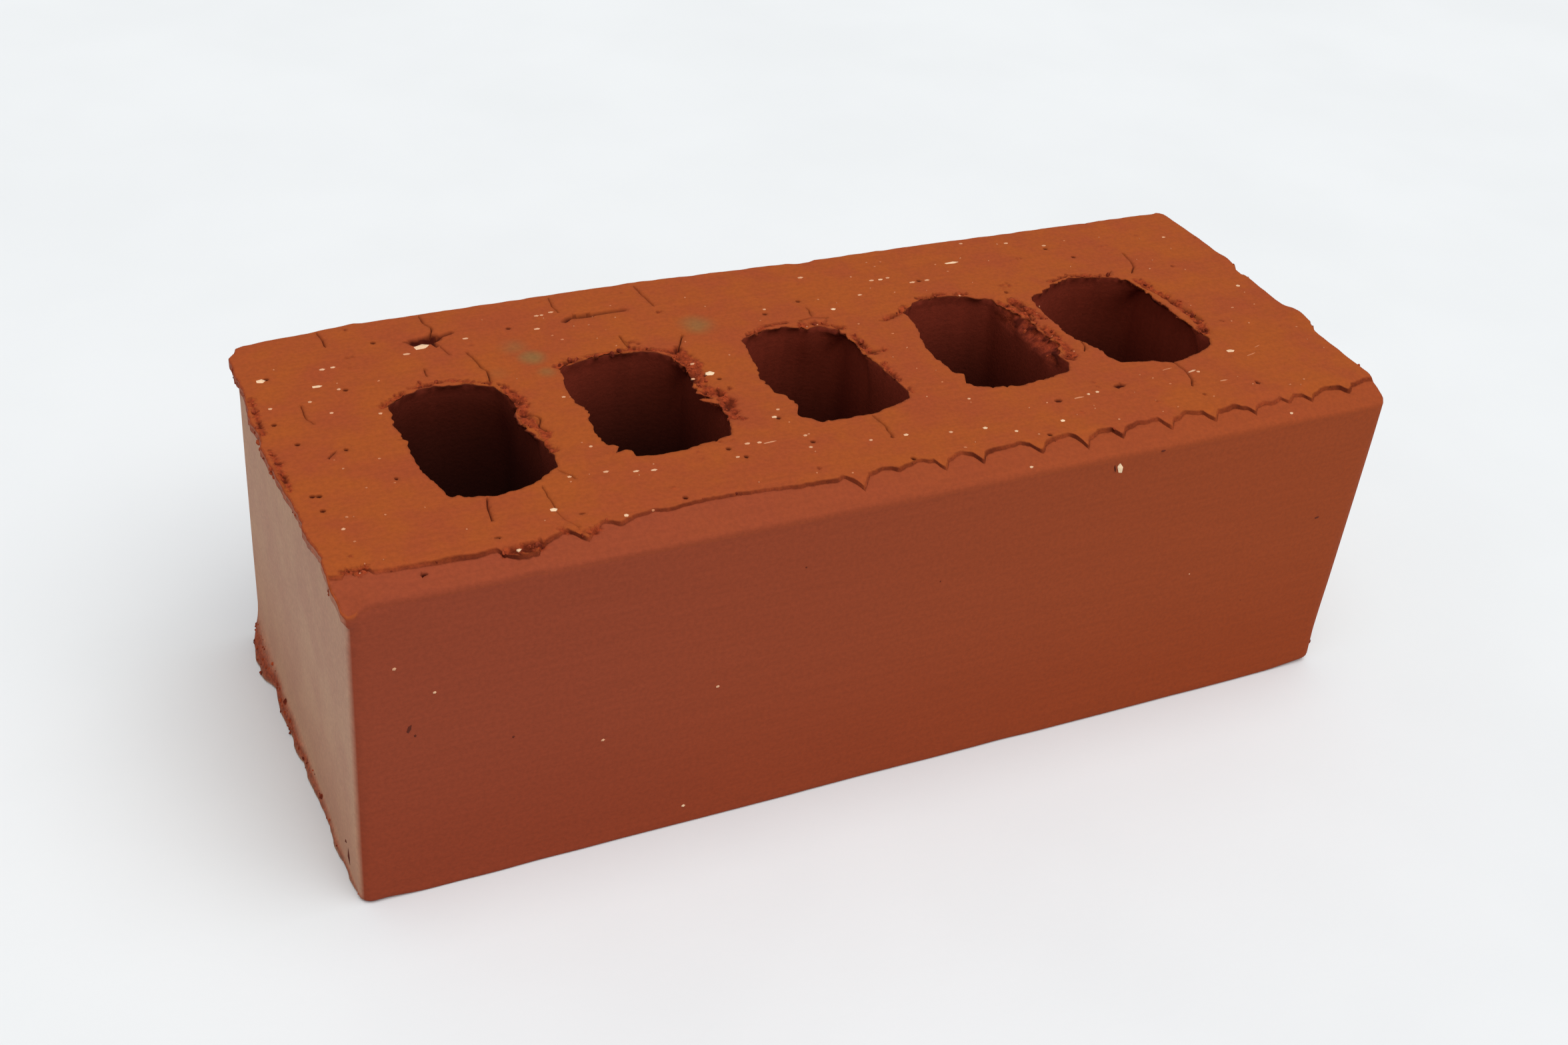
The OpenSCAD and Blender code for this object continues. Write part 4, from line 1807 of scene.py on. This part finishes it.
BED_SPECKS: tuple[Speck, ...] = (
    Speck(2, 73.5, 1.1, 0.8, 0.8), Speck(14.5, 74.5, 0.8, 0.4, 0.6), Speck(16.8, 74.7, 0.6, 0.35, 0.6),
    Speck(12, 68.3, 1.2, 0.55, 0.8), Speck(15.8, 66), Speck(9.3, 63), Speck(1.5, 62.7), Speck(12.3, 58),
    Speck(21.2, 55), Speck(45.7, 78.2, 0.8), Speck(32.3, 75.5, 0.9), Speck(36, 77.5, 2.0, 1.1, 0.75, 0.2),
    Speck(61.3, 77.8, 0.9), Speck(63, 83.3, 0.7), Speck(64.2, 83.3), Speck(66.5, 84, 0.8),
    Speck(57.5, 50.2), Speck(56.3, 31.3), Speck(56, 22.2, 0.7), Speck(61.5, 20.6, 0.8, 0.35, 0.6),
    Speck(65, 20, 0.8, 0.35, 0.6), Speck(48.8, 22.7), Speck(42.4, 13.5, 0.85, 0.7, 0.9),
    Speck(4.7, 19.5), Speck(54.6, 7.8, 0.6, 0.5, 0.7), Speck(4.5, 7.3, 0.6), Speck(32.8, 4.7, 0.6, 0.5, 0.8),
    Speck(89.5, 50, 1.2, 0.9, 1.0), Speck(88, 55.5, 0.8), Speck(86, 50.5, 0.6), Speck(86, 23, 0.7),
    Speck(88.5, 22.7, 0.6), Speck(82.3, 19.3), Speck(97.3, 33), Speck(95.3, 30.5, 0.7, 0.5, 0.7),
    Speck(98.5, 22.5), Speck(97.7, 18.2), Speck(118.3, 16.6, 0.7, 0.5, 0.6), Speck(110.5, 17),
    Speck(127, 67.8, 0.7, 0.5, 0.9), Speck(135.3, 14, 0.6, 0.5, 0.8), Speck(127.7, 14.8),
    Speck(137.8, 25.2), Speck(141, 11, 0.5, 0.4, 0.7), Speck(152.5, 11.6, 0.6, 0.5, 0.9),
    Speck(126, 83, 0.8), Speck(141.5, 77.4, 0.7), Speck(143.7, 77.2, 0.7, 0.4, 0.7), Speck(145.7, 77.5, 0.6),
    Speck(150.3, 74, 0.9), Speck(154.2, 74, 0.8), Speck(135.8, 72, 0.7), Speck(112, 72),
    Speck(164, 80, 2.3, 0.5, 0.8), Speck(182, 85.3, 0.7), Speck(190.5, 81.7, 0.7), Speck(171, 88, 0.6),
    Speck(163.5, 19, 0.5, 0.4, 0.7), Speck(165.8, 19.2, 0.5, 0.4, 0.7), Speck(192.2, 19.6),
    Speck(204.7, 25, 1.2, 0.7, 0.7), Speck(225.5, 50.7, 0.6, 0.5, 0.7), Speck(222.5, 77.5, 0.6),
    Speck(186, 22.6, 1.6, 0.16, 0.1, 0.1), Speck(208.5, 22.4, 1.8, 0.16, 0.1, 0.25),
    Speck(212, 25, 1.3, 0.15, 0.1, 0.3), Speck(160.8, 18.4, 1.6, 0.22, 0.2),
    Speck(191, 20.2, 1.5, 0.28, 0.5, 0.2), Speck(90.5, 22.2, 1.8, 0.25, 0.25, 0.1),
    Speck(195.5, 14.8, 1.2, 0.2, 0.2),
    Speck(139.2, 1.4, 0.5, 0.4, 0.7), Speck(204.8, 2, 0.5, 0.4, 0.7), Speck(118.2, 62.8, 0.5, 0.6, 0.45),
    Speck(120.5, 63.3, 1.6, 0.35, 0.25), Speck(129.5, 48.7, 0.6, 0.5, 0.1), Speck(158.4, 66, 0.4, 0.5, 0.4),
)

# Specks on the front face: place along the brick and height
FRONT_SPECKS: tuple[Speck, ...] = (
    Speck(160.5, 69.6, 0.75, 1.55, 1.0, -0.35), Speck(8, 57.5), Speck(15.3, 50, 0.5, 0.4, 0.6),
    Speck(10.3, 42.5, 0.5, 1.3, -1, 0.3), Speck(11.4, 40.6, 0.4, 0.5, -1), Speck(30.3, 34.8, 0.35, 0.35, -1),
    Speck(219, 44.5, 0.9, 0.4, -1, -0.2), Speck(170.7, 72, 0.7, 0.3, -1),
    Speck(159.2, 69.8, 0.25, 1.1, -1, -0.3), Speck(89.5, 61, 0.25, 0.2, -1),
    Speck(121, 50, 0.2, 0.2, -1), Speck(203, 25, 0.25, 0.2, -1),
    Speck(72.6, 35.5, 0.5, 0.4, 0.5), Speck(48.6, 28.5), Speck(67, 5, 0.5, 0.4, 0.8), Speck(186, 36.5),
)

# Specks on the left header: distance from the front face and height
HEADER_SPECKS: tuple[Speck, ...] = (Speck(9.2, 5, 0.8, 2.5, -1, 0.2), Speck(10.8, 7.5, 0.4, 0.5, -1))


@dataclass
class GritSpecks:
    """Pale grit that the wire laid bare, sunk in the faces."""

    size: BrickSize
    relief: BedRelief
    sunk: float = 0.13
    fine_sunk: float = 0.06
    front_sunk: float = 0.18
    header_sunk: float = 0.1
    bed_deep: float = 0.3
    wall_deep: float = 0.45
    fine_count: int = 170
    core_clear: Point = (15, 22)
    shift: float = 0.00012
    wavelength: float = 0.0008
    seed: int = 21

    def seats(self) -> list[tuple[Vector, Speck, Side | None]]:
        """Works out each speck's seat.

        Returns:
            Place in millimetres, the speck, and the wall that it sits in or None for the upper bed.
        """
        found = []
        heights, _ = self.relief.shape(np.array([(s.x, s.y) for s in BED_SPECKS]))
        for speck, height in zip(BED_SPECKS, heights):
            found.append((Vector((speck.x, speck.y, height - self.sunk)), speck, None))
        for speck in FRONT_SPECKS:
            found.append((Vector((speck.x, self.front_sunk, speck.y)), speck, Side.FRONT))
        for speck in HEADER_SPECKS:
            found.append((Vector((self.header_sunk, speck.x, speck.y)), speck, Side.LEFT))
        rng = np.random.default_rng(self.seed)
        spots = rng.uniform((3, 7.5), (self.size.length - 3, self.size.width - 3), (self.fine_count, 2))
        clear = np.ones(len(spots), bool)
        for seat in self.size.seats:
            clear &= (np.abs(spots - (seat.x, seat.y)) > self.core_clear).any(1)
        spots = spots[clear]
        heights, _ = self.relief.shape(spots)
        for (x, y), height in zip(spots, heights):
            half = rng.uniform(0.12, 0.26)
            long = half * rng.uniform(1, 1.8)
            speck = Speck(x, y, long, half, rng.uniform(0, 0.15), rng.uniform(-0.4, 0.4))
            found.append((Vector((x, y, height - self.fine_sunk)), speck, None))
        return found

    def build(self, material: bpy.types.Material) -> bpy.types.Object:
        """Makes the specks.

        Args:
            material: The grit's finish.

        Returns:
            The specks as one object.
        """
        seats = self.seats()
        mesh = bpy.data.meshes.new("grit_seats")
        mesh.from_pydata([tuple(self.size.low + place * MM) for place, _, _ in seats], [], [])
        sizes, turns, bright = [], [], []
        for _, speck, side in seats:
            deep = self.bed_deep if side is None else self.wall_deep
            sizes += [speck.half_along * MM, speck.half_across * MM, deep * MM]
            turns += {None: (0, 0, speck.turn), Side.FRONT: (math.pi / 2, speck.turn, 0),
                      Side.LEFT: (math.pi / 2, speck.turn, math.pi / 2)}[side]
            bright.append(speck.brightness)
        for name, kind, channel, values in (("half_sizes", "FLOAT_VECTOR", "vector", sizes),
                                            ("turn", "FLOAT_VECTOR", "vector", turns),
                                            ("brightness", "FLOAT", "value", bright)):
            mesh.attributes.new(name, kind, "POINT").data.foreach_set(channel, values)
        seat_object = linked("grit_seats", mesh)
        board, given, result = geometry_tree("Pale grit", {"Finish": ("NodeSocketMaterial", None)})
        turn = named_value(board, "turn", "FLOAT_VECTOR")
        scale = named_value(board, "half_sizes", "FLOAT_VECTOR")
        points = board.node("GeometryNodeMeshToPoints", {0: given.outputs["Geometry"]}).outputs[0]
        stones = stone(board, points, turn, scale, self.shift, self.wavelength, given.outputs["Finish"])
        board.set(result.inputs[0], stones)
        piece = run_nodes(seat_object, board.tree, {"Finish": material}, "pale_grit")
        bpy.data.objects.remove(seat_object)
        return piece


# ---------------------------------------------------------------------------------------------
# Floor, light and camera
# ---------------------------------------------------------------------------------------------


@dataclass(frozen=True)
class Studio:
    """A plain pale floor, soft light from above and the camera.

    The eye is in millimetres from the brick's lower front left corner, the floor's half size in metres, the
    angles in degrees.
    """

    size: BrickSize
    eye: tuple[float, float, float] = (-58.5, -262.9, 282.2)
    heading: float = 28.39
    dip: float = 35.0
    roll: float = 5.97
    lens: float = 44.27
    floor_half: float = 3.0
    sky: float = 0.45
    sky_colour: Colour = (1.0, 1.0, 1.0, 1.0)
    sun: float = 2.3
    sun_spread: float = 65.0
    sun_height: float = 71.0
    sun_heading: float = 195.0

    def build(self, floor_material: bpy.types.Material) -> None:
        """Sets everything up.

        Args:
            floor_material: The floor's finish.
        """
        scene = bpy.context.scene
        half = self.floor_half
        mesh = bpy.data.meshes.new("floor")
        mesh.from_pydata([(-half, -half, 0), (half, -half, 0), (half, half, 0), (-half, half, 0)], [],
                         [(0, 1, 2, 3)])
        mesh.materials.append(floor_material)
        linked("floor", mesh)
        world = bpy.data.worlds.new("studio")
        world.use_nodes = True
        background = world.node_tree.nodes["Background"]
        background.inputs["Color"].default_value = self.sky_colour
        background.inputs["Strength"].default_value = self.sky
        scene.world = world
        light = bpy.data.lights.new("softbox", "SUN")
        light.energy = self.sun
        light.angle = math.radians(self.sun_spread)
        turn = Matrix.Rotation(math.radians(self.sun_heading), 4, "Z")
        lean = Matrix.Rotation(math.radians(self.sun_height - 90), 4, "X")
        linked("softbox", light).matrix_world = turn @ lean
        scene.view_settings.view_transform = "Standard"
        camera_data = bpy.data.cameras.new("camera")
        camera_data.lens = self.lens
        scene.camera = linked("camera", camera_data)
        aim = Matrix.Rotation(-math.radians(self.heading), 4, "Z")
        aim = aim @ Matrix.Rotation(math.radians(90 - self.dip), 4, "X")
        aim = aim @ Matrix.Rotation(math.radians(self.roll), 4, "Z")
        scene.camera.matrix_world = Matrix.Translation(self.size.low + Vector(self.eye) * MM) @ aim


def main() -> None:
    """Builds the brick's looks in order."""
    logging.basicConfig(level=logging.INFO, format="%(name)s: %(message)s")
    size = BrickSize.from_frame("brick")
    grain = clay_grain_group()
    clay = ClayBody(size)
    body = clay.build()
    crumb_finish = TornCrumb(grain).make()
    crumbs = CrumbScatter().build(body, crumb_finish)
    clods = CrumbScatter("torn_clods", 90000.0, 0.0004, 0.00095, 8).build(body, crumb_finish)
    body.data.materials.append(FiredClay(grain, drag_group()).make())
    grit = GritSpecks(size, clay.relief).build(PaleGrit(grain).make())
    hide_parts("brick")
    for piece in (body, crumbs, clods, grit):
        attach(piece, "root")
        LOG.info("%s: %d triangles", piece.name, sum(len(p.vertices) - 2 for p in piece.data.polygons))
    Studio(size).build(PaleFloor(grain).make())


if __name__ == "__main__":
    main()
